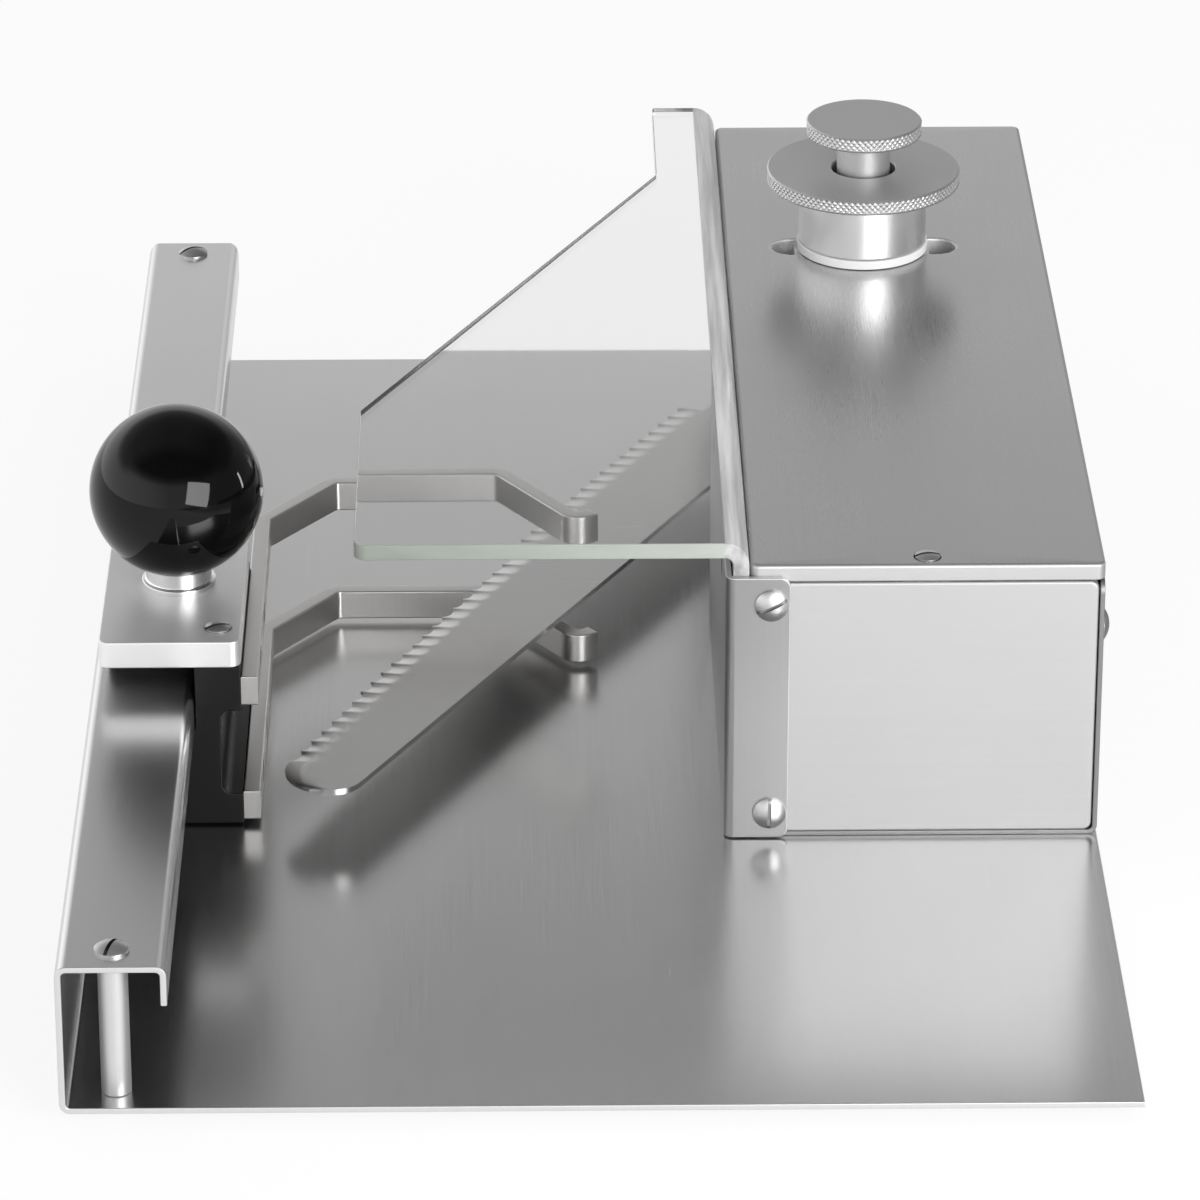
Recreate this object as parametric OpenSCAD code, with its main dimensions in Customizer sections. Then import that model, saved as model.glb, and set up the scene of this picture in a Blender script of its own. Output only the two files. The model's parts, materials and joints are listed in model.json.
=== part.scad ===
// Bread roll cutter: a slide on a rail carries its cradle past a serrated knife.
// X runs across the base plate, Y runs away from the user, Z is up, in millimetres.
// The origin is on the table, under the middle of the base plate.

/* [Base plate] */
// Width of the bay between the slide and the housing
bay_w = 125.6; // [118:0.2:150]
// Distance from the back of the housing to the back of the base plate
back_margin = 6; // [4:0.5:40]
// Thickness of the base sheet
base_t = 1.5; // [1.2:0.1:1.8]
// Outer radius of the folds in the base sheet
fold_r = 2.6; // [2.2:0.1:3]
// Height of a rubber foot
foot_h = 4; // [3.5:0.5:6]
// Diameter of a rubber foot
foot_d = 16; // [10:1:24]
// Distance from the edges of the plate to the middle of a foot
foot_inset = 30; // [28:1:45]

/* [Rail] */
// Width of the folded rail
rail_w = 25.6; // [24:0.2:28]
// Height of the rail above the underside of the plate
rail_h = 38.3; // [36:0.1:42]
// Height of the lip that hangs from the rail
lip_h = 10; // [7:0.5:11]
// Corner radius at the back end of the rail
rail_end_r = 3; // [2:0.5:5]
// Diameter of the spacer posts in the rail
post_d = 7; // [6:0.5:8]
// Distance from the end of the rail to a spacer post
post_inset = 8.5; // [7:0.5:10]

/* [Slide] */
// Length of the slide along the rail
slide_l = 64; // [60:1:80]
// Distance from the front of the base plate to the slide at rest
slide_from_front = 142.5; // [90:0.5:150]
// Height of the slide block above the rail
saddle_t = 6.5; // [5:0.5:9]
// Distance from the ends of the slide to its pad on the rail
pad_inset = 18; // [16:0.5:22]
// Thickness of the slide block beside the rail
cheek_t = 11.5; // [10:0.5:14]
// Gap between the slide block and the base plate
bed_gap = 0.5; // [0.3:0.1:1]
// Depth of the recess that lets the knife tip pass
recess_d = 5.2; // [4:0.2:6]
// Height of the foot of the recess above the plate
recess_z = 8.8; // [8:0.1:9.4]
// Distance from the recess up to the upper bar
recess_drop = 1.6; // [1:0.1:3]
// Corner radius of the recess
recess_r = 2.4; // [1:0.2:4]
// Width of the top plate of the slide
plate_w = 35; // [34:0.5:36]
// Thickness of the top plate of the slide
plate_t = 7; // [6:0.5:10]
// Corner radius of the top plate
plate_r = 2.6; // [1:0.2:5]

/* [Ball knob] */
// Diameter of the ball
ball_d = 43.5; // [35:0.5:50]
// Diameter of the flat under the ball
ball_flat_d = 16.6; // [12:0.2:17]
// Height of the polished neck
neck_h = 5.2; // [4:0.2:10]
// Diameter of the foot of the neck
neck_d = 18.6; // [17.6:0.2:22]
// Height of the foot of the neck
neck_foot_h = 1.4; // [1:0.1:2.5]
// Diameter of the stud that holds the ball
stud_d = 8; // [6:1:8]
// Depth of the stud in the ball
stud_in_ball = 14; // [10:1:20]
// Distance from the front of the slide to the ball
ball_from_front = 35.7; // [28:0.1:38]
// Distance from the left side of the top plate to the ball
ball_from_left = 18.4; // [16:0.1:20]

/* [Cradle] */
// Thickness of the cradle bars
band_t = 4.2; // [3:0.2:5]
// Height of a cradle bar
band_h = 7.9; // [6:0.1:8]
// Height of the lower bar above the plate
low_band_z = 1.6; // [1.5:0.1:1.7]
// Distance from the top of the slide block down to the upper bar
high_band_drop = 2.4; // [1.5:0.1:4]
// Length of the bars beside the slide
band_side = 94.5; // [84:0.5:110]
// Sideways run of the first slant
slant_x = 17.7; // [12:0.1:24]
// Backward run of the first slant
slant_y = 24.5; // [18:0.5:32]
// Length of the bars across the back
band_across = 44.3; // [36:0.5:54]
// Sideways run of the returning slant
return_x = 19.6; // [14:0.1:26]
// Forward run of the returning slant
return_y = 29.5; // [20:0.5:36]
// Sideways run of the turned-out end
flare_x = 4.5; // [3:0.1:8]
// Backward run of the turned-out end
flare_y = 3.6; // [2:0.1:8]

/* [Knife] */
// Thickness of the blade
blade_t = 1.5; // [1.2:0.1:2]
// Height of the underside of the blade above the plate
blade_z = 11.9; // [11.6:0.1:13]
// Angle of the blade from the rail
blade_angle = 27.8; // [26:0.1:29]
// Distance from the side of the slide to the tip of the blade
tip_from_slide = 10.2; // [8.5:0.1:25]
// Length of the back of the blade inside the housing, to its heel
heel_in = 34.8; // [28:0.1:40]
// Width of the blade at its tip
tip_w = 22; // [18:0.5:24]
// Width of the blade at its heel
heel_w = 32; // [28:0.5:34]
// Distance from the adjuster forwards to the back of the blade where it enters the housing
blade_before_knob = 20.2; // [18:0.1:24]
// Pitch of the teeth
tooth_pitch = 6.1; // [5:0.1:8]
// Depth of a tooth
tooth_depth = 1.3; // [0.8:0.1:1.8]
// Corner radius of the tip on the cutting side
tip_edge_r = 12; // [8:0.5:14]
// Corner radius of the tip on the back
tip_back_r = 3; // [1:0.5:6]
// Length of the tang
tang_l = 56; // [52:1:58]
// Width of the tang
tang_w = 22; // [18:0.5:24]

/* [Housing] */
// Width of the housing
box_w = 87; // [85:0.5:92]
// Length of the housing
box_l = 299.2; // [292:0.2:304]
// Distance from the front of the base plate to the housing
box_from_front = 134.8; // [128:0.2:136]
// Height of the top of the lid above the base plate
box_h = 74.2; // [72:0.1:84]
// Thickness of the housing sheet
box_t = 1.2; // [1:0.1:1.5]
// Outer radius of the folds in the housing sheet
box_r = 2.4; // [2:0.1:3]
// Height of the lid's rim
rim_h = 4.5; // [4:0.1:7]
// Corner radius at the top of the housing's side walls
wall_corner_r = 3.5; // [2:0.5:6]
// Depth of the flanges of the end panels
flange_w = 12; // [10:0.5:14]
// Height of the knife slot in the left wall
port_h = 22.5; // [21.5:0.5:23]
// Height of the foot of the knife slot above the plate
port_z = 8.9; // [8:0.1:9.2]

/* [Corner bracket and guard] */
// Width of the bracket's front flange
bracket_w = 15.9; // [15:0.1:20]
// Length of the bracket's side plate
bracket_l = 124.8; // [110:0.2:130]
// Thickness of the bracket
bracket_t = 1.5; // [1.2:0.1:1.6]
// Distance from the top of the lid down to the top of the bracket
bracket_drop = 2.8; // [2:0.1:8]
// Outer fold radius of the bracket
bracket_r = 2.4; // [2:0.1:3]
// Thickness of the clear guard
guard_t = 4; // [3:0.2:4.6]
// Height of the top of the guard above the lid
guard_rise = 5.8; // [4.8:0.1:12]
// Outer radius of the guard's fold
guard_r = 6; // [5.5:0.5:9]
// Height of the guard's leg
guard_leg = 31.5; // [28:0.5:35]
// Distance from the side of the slide to the edge of the guard
guard_from_slide = 28.6; // [22:0.1:45]
// Length of the wide part of the guard
guard_wide_l = 83; // [70:1:110]
// Width of the narrow part of the guard
guard_narrow_w = 17.7; // [14:0.1:30]
// Length of the narrow part of the guard
guard_narrow_l = 52; // [40:1:70]
// Radius of the guard's front corner
guard_corner_r = 3; // [1:0.5:8]

/* [Adjuster] */
// Distance from the left side of the housing to the adjuster
knob_from_left = 37.5; // [37:0.1:38]
// Distance from the back of the housing to the adjuster
knob_from_back = 91.5; // [80:0.1:110]
// Length of the slot in the lid
lid_slot_l = 50.3; // [50:0.1:51]
// Width of the slot in the lid
lid_slot_w = 11; // [9:0.1:12]
// Distance from the adjuster to the middle of the slot
lid_slot_shift = 0.5; // [0:0.1:0.6]
// Diameter of the hollow stud in the slot
tube_d = 8; // [7.6:0.1:8.4]
// Diameter of the clamp knob's disc
clamp_disc_d = 52.4; // [46:0.2:58]
// Diameter of the clamp knob's collar
clamp_collar_d = 34.7; // [28:0.1:38]
// Height of the clamp knob's collar
clamp_collar_h = 16.4; // [14:0.1:22]
// Thickness of the knurled discs
disc_t = 4; // [3:0.1:5]
// Diameter of the hole in the clamp knob
clamp_bore_d = 17.4; // [16:0.1:20]
// Diameter of the height knob's disc
height_disc_d = 31.3; // [26:0.1:36]
// Diameter of the height knob's stem
stem_d = 14.4; // [12:0.1:15]
// Rise of the height knob above the clamp knob
height_knob_rise = 9.8; // [6:0.1:14]
// Bevel of the knurled discs
disc_bevel = 0.4; // [0.3:0.1:1]
// Thickness of the plastic washer
washer_t = 2.4; // [1.5:0.1:3]
// Diameter of the plastic washer
washer_d = 35.6; // [34.8:0.1:40]

/* [Knife carrier] */
// Width of the carrier
carrier_w = 36.8; // [36:0.2:37]
// Length of the carrier
carrier_l = 73; // [70:1:78]
// Thickness of the carrier
carrier_t = 14; // [13:0.5:15]
// Diameter of the guide rods
rod_d = 6; // [5:0.5:6]
// Distance between the guide rods
rod_gap = 49; // [47:1:50]
// Wall of the plain bushes
bush_t = 1.5; // [1:0.1:1.6]
// Thickness of the rod supports
support_t = 4.2; // [4:0.1:4.3]
// Height of the rod supports
support_h = 14; // [12:0.5:16]
// Diameter of the lift pins
pin_d = 5; // [4:0.5:6]
// Thickness of the knife holder
holder_t = 10; // [8:0.5:12]
// Thickness of the plate that clamps the knife
clamp_t = 4; // [3:0.5:5]
// Diameter of the lifting screw
screw_d = 6; // [5:0.5:6]
// Diameter of the spindle above the lifting screw
spindle_d = 4; // [3.5:0.1:4.2]
// Diameter of the lifting nut
nut_d = 14; // [12:0.5:16]
// Height of the lifting nut
nut_h = 14; // [12:0.5:16]

/* [Fasteners] */
// Thread diameter of the screws
thread_d = 4; // [3:0.5:4]
// Head diameter of the screws
head_d = 8.2; // [7:0.1:8.4]
// Height of a domed head
dome_h = 2.1; // [1.5:0.1:2.4]
// Width of a screwdriver slot
slot_w = 1.1; // [0.8:0.1:1.4]
// Depth of a screwdriver slot
slot_d = 1.1; // [0.8:0.1:1.2]
// Thread diameter of the guard screws
small_thread_d = 3; // [2.5:0.5:3]
// Head diameter of the guard screws
small_head_d = 5.6; // [5:0.1:6]

/* [Fits] */
// Gap between parts that slide on or stand beside each other
gap = 0.3; // [0.25:0.05:0.4]
// Radial play of the sliding rods and pins
play = 0.05; // [0.02:0.01:0.1]
// Radial play of a screw in its hole
hole_play = 0.15; // [0.1:0.05:0.2]

/* [Hidden] */
$fn = 48;
over = 1;

// Turns of the screwdriver slots, as the screws happened to tighten
rail_slot_turns = [70, 25];
plate_slot_turn = 20;
lid_slot_turn = 8;
side_slot_turn = 60;
bracket_slot_turns = [88, 25];

// The plate is as wide as the rail, the slide beside it, the bay and the housing
base_w = rail_w + gap + cheek_t + bay_w + box_w;
base_l = box_from_front + box_l + back_margin;

// Heights and edges of the base plate and the rail
left_x = -base_w / 2;
right_x = base_w / 2;
front_y = -base_l / 2;
back_y = base_l / 2;
plate_z = foot_h + base_t;
rail_z = foot_h + rail_h;
lip_x = left_x + rail_w;
lip_z = rail_z - lip_h;
rail_mid_x = left_x + rail_w / 2;
post_ys = [front_y + post_inset, back_y - post_inset];

// Places of the slide and what it carries
slide_y = front_y + slide_from_front;
saddle_z = rail_z + gap;
slide_z = saddle_z + saddle_t;
cheek_x = lip_x + gap;
bench_x = cheek_x + cheek_t;
core_gap = 1;
plate_x = bench_x - plate_w;
plate_top = slide_z + plate_t;
ball_x = plate_x + ball_from_left;
ball_y = slide_y + ball_from_front;
ball_z = plate_top + neck_h + sqrt(pow(ball_d, 2) - pow(ball_flat_d, 2)) / 2;
plate_screw_x = (cheek_x + bench_x) / 2;
plate_screw_inset = head_d + gap;
band_screw_shares = [0.3, 0.7];
band_screw_ys = [for (share = band_screw_shares) slide_y + slide_l * share];
band_zs = [plate_z + low_band_z, slide_z - high_band_drop - band_h];
recess_h = band_zs[1] - recess_drop - plate_z - recess_z;
band_screw_l = cheek_t - recess_d;

// Edges and heights of the housing
box_x = right_x - box_w;
box_y = front_y + box_from_front;
box_back = box_y + box_l;
lid_z = plate_z + box_h;
wall_top = lid_z - rim_h - gap;
panel_front = box_y;
panel_z = plate_z + box_t;
panel_x0 = box_x + box_t + gap;
panel_x1 = right_x - box_t - gap;
lid_under = lid_z - box_t;
lid_block_w = 12;
lid_block_l = 8;
lid_block_h = 14;
lid_screw_inset = 5;
lid_screw_l = 10;
tray_screw_inset = 12;

// Travel of the carrier from the place at rest: towards the housing and towards the rail
travel_out = 21;
travel_in = 13;

// Places of the adjuster and the knife carrier
knob_x = box_x + knob_from_left;
knob_y = box_back - knob_from_back;
carrier_top = lid_under - gap;
carrier_z = carrier_top - carrier_t;
rod_z = carrier_z + carrier_t / 2;
rod_ys = [knob_y - rod_gap / 2, knob_y + rod_gap / 2];
bush_d = rod_d + 2 * bush_t;
washer_z = lid_z + gap / 2;
clamp_z = washer_z + washer_t + gap;
disc_z = clamp_z + clamp_collar_h;
clamp_top = disc_z + disc_t;
clamp_web = 8;
tube_top = clamp_z + clamp_web;
stem_z = tube_top + gap;
height_disc_z = clamp_top + height_knob_rise;
blade_low = plate_z + blade_z;
blade_top = blade_low + blade_t;
spindle_foot = plate_z + 2 * blade_t;
thrust_h = 2;
thrust_d = 10;
pin_clear = 1.5;
pin_gap = nut_d + 2 * thrust_h + 2 * pin_clear + pin_d;
pin_xs = [knob_x - pin_gap / 2, knob_x + pin_gap / 2];
pin_foot = blade_low - blade_t;
pin_set = 8;

// The blade has its own axes: s runs along its back from the housing wall, w towards its edge
blade_x = box_x;
blade_y = knob_y - blade_before_knob;
tip_x = bench_x + tip_from_slide;
blade_reach = tip_edge_r + (blade_x - tip_x - tip_edge_r - (tip_w - tip_edge_r) * cos(blade_angle))
  / sin(blade_angle);
edge_start = -blade_reach + tip_edge_r * 4 / 5;
edge_end = heel_in;
edge_l = edge_end - edge_start;
heel_s = edge_end + gap;
tang_end = heel_s + tang_l;
tang_w0 = 2;
tooth_count = floor(edge_l / tooth_pitch);
tooth_r = (pow(tooth_pitch / 2, 2) + pow(tooth_depth, 2)) / (2 * tooth_depth);
tang_side = tang_w0 + tang_w;
clamp_screw_shares = [0.45, 0.17];
clamp_screw_ss = [for (share = clamp_screw_shares) tang_end - tang_l * share];
clamp_screw_w = tang_w0 + tang_w / 2;
// The holder starts beside the wall, a little more than the inward travel away from it
holder_gap = travel_in + over;
holder_x = box_x + box_t + holder_gap;
holder_arm_w = 31;
holder_y = knob_y - nut_d;
holder_back = blade_y + tang_end * cos(blade_angle) + clamp_screw_w * sin(blade_angle);
clamp_y = blade_y + (clamp_screw_ss[0] - tang_w) * cos(blade_angle);

// Places of the bracket and the guard
guard_x1 = box_x - gap;
guard_leg_x = guard_x1 - guard_t;
bracket_x = guard_leg_x - gap - bracket_t;
bracket_y = box_y - bracket_t;
bracket_z = plate_z + bracket_t / 4;
bracket_top = lid_z - bracket_drop;
bracket_h = bracket_top - bracket_z;
guard_top = lid_z + guard_rise;
guard_front = box_y + gap;
guard_left = bench_x + guard_from_slide;
guard_w = guard_x1 - guard_left;
guard_narrow_x = guard_x1 - guard_narrow_w;
bracket_screw_x = panel_x0 + box_t + thread_d / 2 + hole_play + gap;
bracket_screw_inset = 7.2;
bracket_screw_zs = [bracket_z + bracket_screw_inset - gap, bracket_top - bracket_screw_inset];
guard_screw_ys = [bracket_y + bracket_l / 4, bracket_y + bracket_l * 4 / 5];
guard_screw_z = guard_top - guard_leg * 3 / 5;
small_nut_h = 2.4;

// The knife slot in the wall is as long as the blade needs at both ends of its travel
port_gap = 3.5;
port_y0 = blade_y - travel_out / tan(blade_angle) - port_gap;
port_y1 = blade_y + (travel_in + tang_side * cos(blade_angle)) / tan(blade_angle)
  + tang_side * sin(blade_angle) + port_gap;

// Places of the screws in the side walls
side_screw_share = 0.73;
side_screw_z = plate_z + box_h * side_screw_share;
side_screw_inset = flange_w * 3 / 5 + box_t;
side_screw_ys = [box_y + side_screw_inset, box_back - side_screw_inset];

// A round corner of a folded sheet: a quarter ring between two radii
module fold(outer, wall, turn) {
  rotate(turn) intersection() {
    difference() { circle(outer); circle(outer - wall); }
    square(outer);
  }
}

// A cutter that rounds an outward corner whose point is at the origin, filled towards +x and +y
module corner_cut(r) {
  difference() {
    translate([-over, -over]) square(r + over);
    translate([r, r]) circle(r);
  }
}

// Extrudes a flat drawing, made in x and z, along +Y
module along_y(from, length) {
  translate([0, from + length, 0]) rotate([90, 0, 0]) linear_extrude(length) children();
}

// A screw with a low domed, slotted head; its seat is at z = 0 and the shank goes down
module dome_screw(length, turn) {
  dome_r = (pow(head_d / 2, 2) + pow(dome_h, 2)) / (2 * dome_h);
  difference() {
    intersection() {
      translate([0, 0, dome_h - dome_r]) sphere(dome_r, $fn = 64);
      cylinder(h = dome_h, d = head_d);
    }
    rotate([0, 0, turn])
      translate([-head_d, -slot_w / 2, dome_h - slot_d]) cube([2 * head_d, slot_w, dome_h]);
  }
  translate([0, 0, -length]) cylinder(h = length + (dome_h - slot_d) / 2, d = thread_d);
}

// A raised countersunk screw: the rim of its cone is at z = 0
module sunk_screw(length, head, thread, turn, rise) {
  cone_h = (head - thread) / 2;
  dome_r = (pow(head / 2, 2) + pow(rise, 2)) / (2 * rise);
  difference() {
    union() {
      translate([0, 0, -cone_h]) cylinder(h = cone_h, d1 = thread, d2 = head);
      intersection() {
        translate([0, 0, rise - dome_r]) sphere(dome_r, $fn = 64);
        cylinder(h = rise, d = head);
      }
    }
    rotate([0, 0, turn])
      translate([-head, -slot_w / 2, rise - slot_d]) cube([2 * head, slot_w, dome_h]);
  }
  translate([0, 0, -length]) cylinder(h = length - cone_h * 3 / 4, d = thread);
}

// The hole for a countersunk screw
module sunk_hole(length, head, thread) {
  cone_h = (head - thread) / 2;
  translate([0, 0, -cone_h]) cylinder(h = cone_h, d1 = thread + 2 * hole_play, d2 = head + 2 * hole_play);
  cylinder(h = over, d = head + 2 * hole_play);
  translate([0, 0, -length]) cylinder(h = length, d = thread + 2 * hole_play);
}

// A pan-head screw driven upwards: its seat is at z = 0 and the head hangs below
module pan_screw(length) {
  translate([0, 0, -dome_h]) cylinder(h = dome_h, d = head_d);
  translate([0, 0, -dome_h / 2]) cylinder(h = length + dome_h / 2, d = thread_d);
}

// A straight hole through from z = 0 upwards
module shank_hole(length) {
  translate([0, 0, -over]) cylinder(h = length + 2 * over, d = thread_d + 2 * hole_play);
}

module base_profile() {
  translate([left_x + fold_r, foot_h]) square([base_w - fold_r, base_t]);
  translate([left_x + fold_r, foot_h + fold_r]) fold(fold_r, base_t, 180);
  translate([left_x, foot_h + fold_r]) square([base_t, rail_h - 2 * fold_r]);
  translate([left_x + fold_r, rail_z - fold_r]) fold(fold_r, base_t, 90);
  translate([left_x + fold_r, rail_z - base_t]) square([rail_w - 2 * fold_r, base_t]);
  translate([lip_x - fold_r, rail_z - fold_r]) fold(fold_r, base_t, 0);
  translate([lip_x - base_t, lip_z]) square([base_t, lip_h - fold_r]);
}

module base_plate() {
  color([0.72, 0.72, 0.72]) difference() {
    along_y(front_y, base_l) base_profile();
    translate([left_x, back_y, lip_z - over]) rotate([0, 0, -90])
      linear_extrude(lip_h + 2 * over) corner_cut(rail_end_r);
    translate([lip_x, back_y, lip_z - over]) rotate([0, 0, 180])
      linear_extrude(lip_h + 2 * over) corner_cut(rail_end_r);
    for (y = post_ys) {
      translate([rail_mid_x, y, foot_h]) shank_hole(base_t);
      translate([rail_mid_x, y, rail_z - base_t]) shank_hole(base_t);
    }
    for (p = tray_screw_places()) translate([p[0], p[1], foot_h]) shank_hole(base_t);
  }
}

module rubber_feet() {
  color([0.1, 0.1, 0.1])
    for (x = [left_x + foot_inset, right_x - foot_inset], y = [front_y + foot_inset, back_y - foot_inset])
      translate([x, y, 0]) cylinder(h = foot_h, d = foot_d);
}

module rail_posts() {
  color([0.85, 0.85, 0.85])
    for (y = post_ys) translate([rail_mid_x, y, plate_z]) difference() {
      cylinder(h = rail_h - 2 * base_t, d = post_d);
      translate([0, 0, -over]) cylinder(h = rail_h, d = thread_d + 2 * hole_play);
    }
}

module rail_screws() {
  color([0.8, 0.8, 0.8])
    for (i = [0, 1]) translate([rail_mid_x, post_ys[i], rail_z])
      dome_screw(base_t + rail_h / 3, rail_slot_turns[i]);
}

module post_screws() {
  color([0.8, 0.8, 0.8])
    for (y = post_ys) translate([rail_mid_x, y, foot_h]) pan_screw(base_t + rail_h / 3);
}

// The block stands beside the rail, reaches under its lip and ends inside the channel
module slide_profile() {
  core_x = left_x + base_t + core_gap;
  low_z = plate_z + bed_gap;
  translate([cheek_x, low_z]) square([cheek_t, slide_z - low_z]);
  translate([core_x, low_z]) square([cheek_x - core_x + over, lip_z - gap - low_z]);
  translate([core_x, low_z])
    square([lip_x - base_t - core_gap - core_x, rail_z - base_t - gap - low_z]);
}

// The pad that carries the top plate on the rail
module slide_pad() {
  translate([plate_x + core_gap, slide_y + pad_inset, saddle_z])
    cube([cheek_x - plate_x - core_gap + over, slide_l - 2 * pad_inset, saddle_t]);
}

module recess_profile() {
  translate([bench_x - recess_d, plate_z + recess_z]) difference() {
    square([recess_d + over, recess_h]);
    corner_fill(recess_r);
    translate([0, recess_h]) mirror([0, 1]) corner_fill(recess_r);
  }
}

// The material left in an inward corner whose point is at the origin
module corner_fill(r) {
  difference() {
    square(r);
    translate([r, r]) circle(r);
  }
}

module slide_block() {
  color([0.12, 0.12, 0.13]) difference() {
    union() {
      along_y(slide_y, slide_l) difference() {
        slide_profile();
        recess_profile();
      }
      slide_pad();
    }
    for (y = plate_screw_ys())
      translate([plate_screw_x, y, slide_z - plate_t]) shank_hole(plate_t + over);
    for (y = band_screw_ys, z = band_zs)
      translate([bench_x - band_screw_l, y, z + band_h / 2]) rotate([0, 90, 0])
        cylinder(h = band_screw_l + over, d = small_thread_d + 2 * hole_play);
  }
}

function plate_screw_ys() = [slide_y + plate_screw_inset, slide_y + slide_l - plate_screw_inset];

module slide_plate() {
  color([0.8, 0.8, 0.8]) difference() {
    translate([plate_x, slide_y, slide_z]) linear_extrude(plate_t) difference() {
      square([plate_w, slide_l]);
      corner_cut(plate_r);
      translate([plate_w, 0]) rotate(90) corner_cut(plate_r);
      translate([plate_w, slide_l]) rotate(180) corner_cut(plate_r);
      translate([0, slide_l]) rotate(270) corner_cut(plate_r);
    }
    for (y = plate_screw_ys())
      translate([plate_screw_x, y, plate_top]) sunk_hole(plate_t + over, head_d, thread_d);
    translate([ball_x, ball_y, slide_z - over])
      cylinder(h = plate_t + 2 * over, d = stud_d + 2 * hole_play);
  }
}

module slide_plate_screws() {
  color([0.8, 0.8, 0.8])
    for (y = plate_screw_ys()) translate([plate_screw_x, y, plate_top])
      sunk_screw(2 * plate_t, head_d, thread_d, plate_slot_turn, slot_d);
}

module knob_neck() {
  color([0.85, 0.85, 0.85]) translate([ball_x, ball_y, plate_top]) {
    cylinder(h = neck_foot_h, d = neck_d);
    cylinder(h = neck_h, d = ball_flat_d);
    translate([0, 0, -plate_t]) cylinder(h = plate_t + neck_h + stud_in_ball, d = stud_d);
  }
}

module ball_knob() {
  color([0.02, 0.02, 0.02]) difference() {
    translate([ball_x, ball_y, ball_z]) sphere(d = ball_d, $fn = 96);
    translate([ball_x, ball_y, plate_top + neck_h - ball_d]) cylinder(h = ball_d, d = ball_d);
    translate([ball_x, ball_y, plate_top])
      cylinder(h = neck_h + stud_in_ball + gap, d = stud_d + 2 * hole_play);
  }
}

// Plan of a cradle bar: the middle line, front end first
function band_path() = let(x = bench_x + band_t / 2, y1 = slide_y + band_side, y2 = y1 + slant_y) [
  [x, slide_y],
  [x, y1],
  [x + slant_x, y2],
  [x + slant_x + band_across, y2],
  [x + slant_x + band_across + return_x, y2 - return_y],
  [x + slant_x + band_across + return_x + flare_x, y2 - return_y + flare_y]
];

// The points at one side of a path, mitred at its bends
function unit(v) = v / norm(v);
function side_points(path, d) = [for (i = [0:len(path) - 1])
  let(
    before = unit(path[max(i, 1)] - path[max(i, 1) - 1]),
    after = unit(path[min(i, len(path) - 2) + 1] - path[min(i, len(path) - 2)]),
    mean = unit(before + after),
    half = before * mean
  ) path[i] + d / half * [-mean[1], mean[0]]
];
function reversed(list) = [for (i = [len(list) - 1:-1:0]) list[i]];

module band(z) {
  difference() {
    translate([0, 0, z]) linear_extrude(band_h)
      polygon(concat(side_points(band_path(), band_t / 2), reversed(side_points(band_path(), -band_t / 2))));
    for (y = band_screw_ys)
      translate([bench_x + band_t, y, z + band_h / 2]) rotate([0, 90, 0])
        sunk_hole(band_t + over, small_head_d, small_thread_d);
  }
}

module upper_band() {
  color([0.75, 0.74, 0.7]) band(band_zs[1]);
}

module lower_band() {
  color([0.75, 0.74, 0.7]) band(band_zs[0]);
}

module band_screws() {
  color([0.8, 0.8, 0.8])
    for (y = band_screw_ys, z = band_zs)
      translate([bench_x + band_t, y, z + band_h / 2]) rotate([0, 90, 0])
        flat_screw(band_t + band_screw_l - gap, small_head_d, small_thread_d);
}

// A flush countersunk screw: its flat head ends at z = 0
module flat_screw(length, head, thread) {
  cone_h = (head - thread) / 2;
  difference() {
    translate([0, 0, -cone_h]) cylinder(h = cone_h, d1 = thread, d2 = head);
    translate([-head, -slot_w / 2, -cone_h / 2]) cube([2 * head, slot_w, cone_h]);
  }
  translate([0, 0, -length]) cylinder(h = length - cone_h * 3 / 4, d = thread);
}

// Width of the blade at a place along its back: a long even curve
function blade_w(s) = heel_w - (heel_w - tip_w) * pow((edge_end - s) / edge_l, 2);
function tooth_s(i) = edge_end - i * tooth_pitch;

module blade_outline() {
  difference() {
    polygon(concat(
      [[-tang_w0, tang_end], [-tang_w0, heel_s], [0, heel_s], [0, -blade_reach], [-tip_w, -blade_reach]],
      [for (i = [tooth_count:-1:0]) [-blade_w(tooth_s(i)), tooth_s(i)]],
      [[-tang_side, heel_s], [-tang_side, tang_end]]
    ));
    translate([-tip_w, -blade_reach]) corner_cut(tip_edge_r);
    translate([0, -blade_reach]) rotate(90) corner_cut(tip_back_r);
    for (i = [0:tooth_count - 1]) {
      mid = (tooth_s(i) + tooth_s(i + 1)) / 2;
      translate([-blade_w(mid) + tooth_depth - tooth_r, mid]) circle(tooth_r, $fn = 24);
    }
    for (s = clamp_screw_ss) translate([-clamp_screw_w, s]) circle(d = thread_d + 2 * hole_play);
  }
}

module on_blade() {
  translate([blade_x, blade_y, 0]) rotate([0, 0, -blade_angle]) children();
}

module knife() {
  color([0.7, 0.7, 0.68]) on_blade() translate([0, 0, blade_low]) linear_extrude(blade_t) blade_outline();
}

module clamp_screw_holes() {
  on_blade() for (s = clamp_screw_ss)
    translate([-clamp_screw_w, s, blade_low - clamp_t - over])
      cylinder(h = clamp_t + blade_t + holder_t + 2 * over, d = thread_d + 2 * hole_play);
}

module knife_holder() {
  color([0.7, 0.7, 0.72]) difference() {
    translate([0, 0, blade_top]) linear_extrude(holder_t) {
      translate([pin_xs[0] - pin_d, holder_y]) square([pin_gap + 2 * pin_d, clamp_y - holder_y]);
      translate([holder_x, clamp_y]) square([holder_arm_w, holder_back - clamp_y]);
    }
    for (x = pin_xs) translate([x, knob_y, blade_low]) cylinder(h = 2 * holder_t, d = pin_d + 2 * play);
    translate([knob_x, knob_y, blade_low]) cylinder(h = 2 * holder_t, d = nut_d + 2 * hole_play);
    clamp_screw_holes();
  }
}

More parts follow.
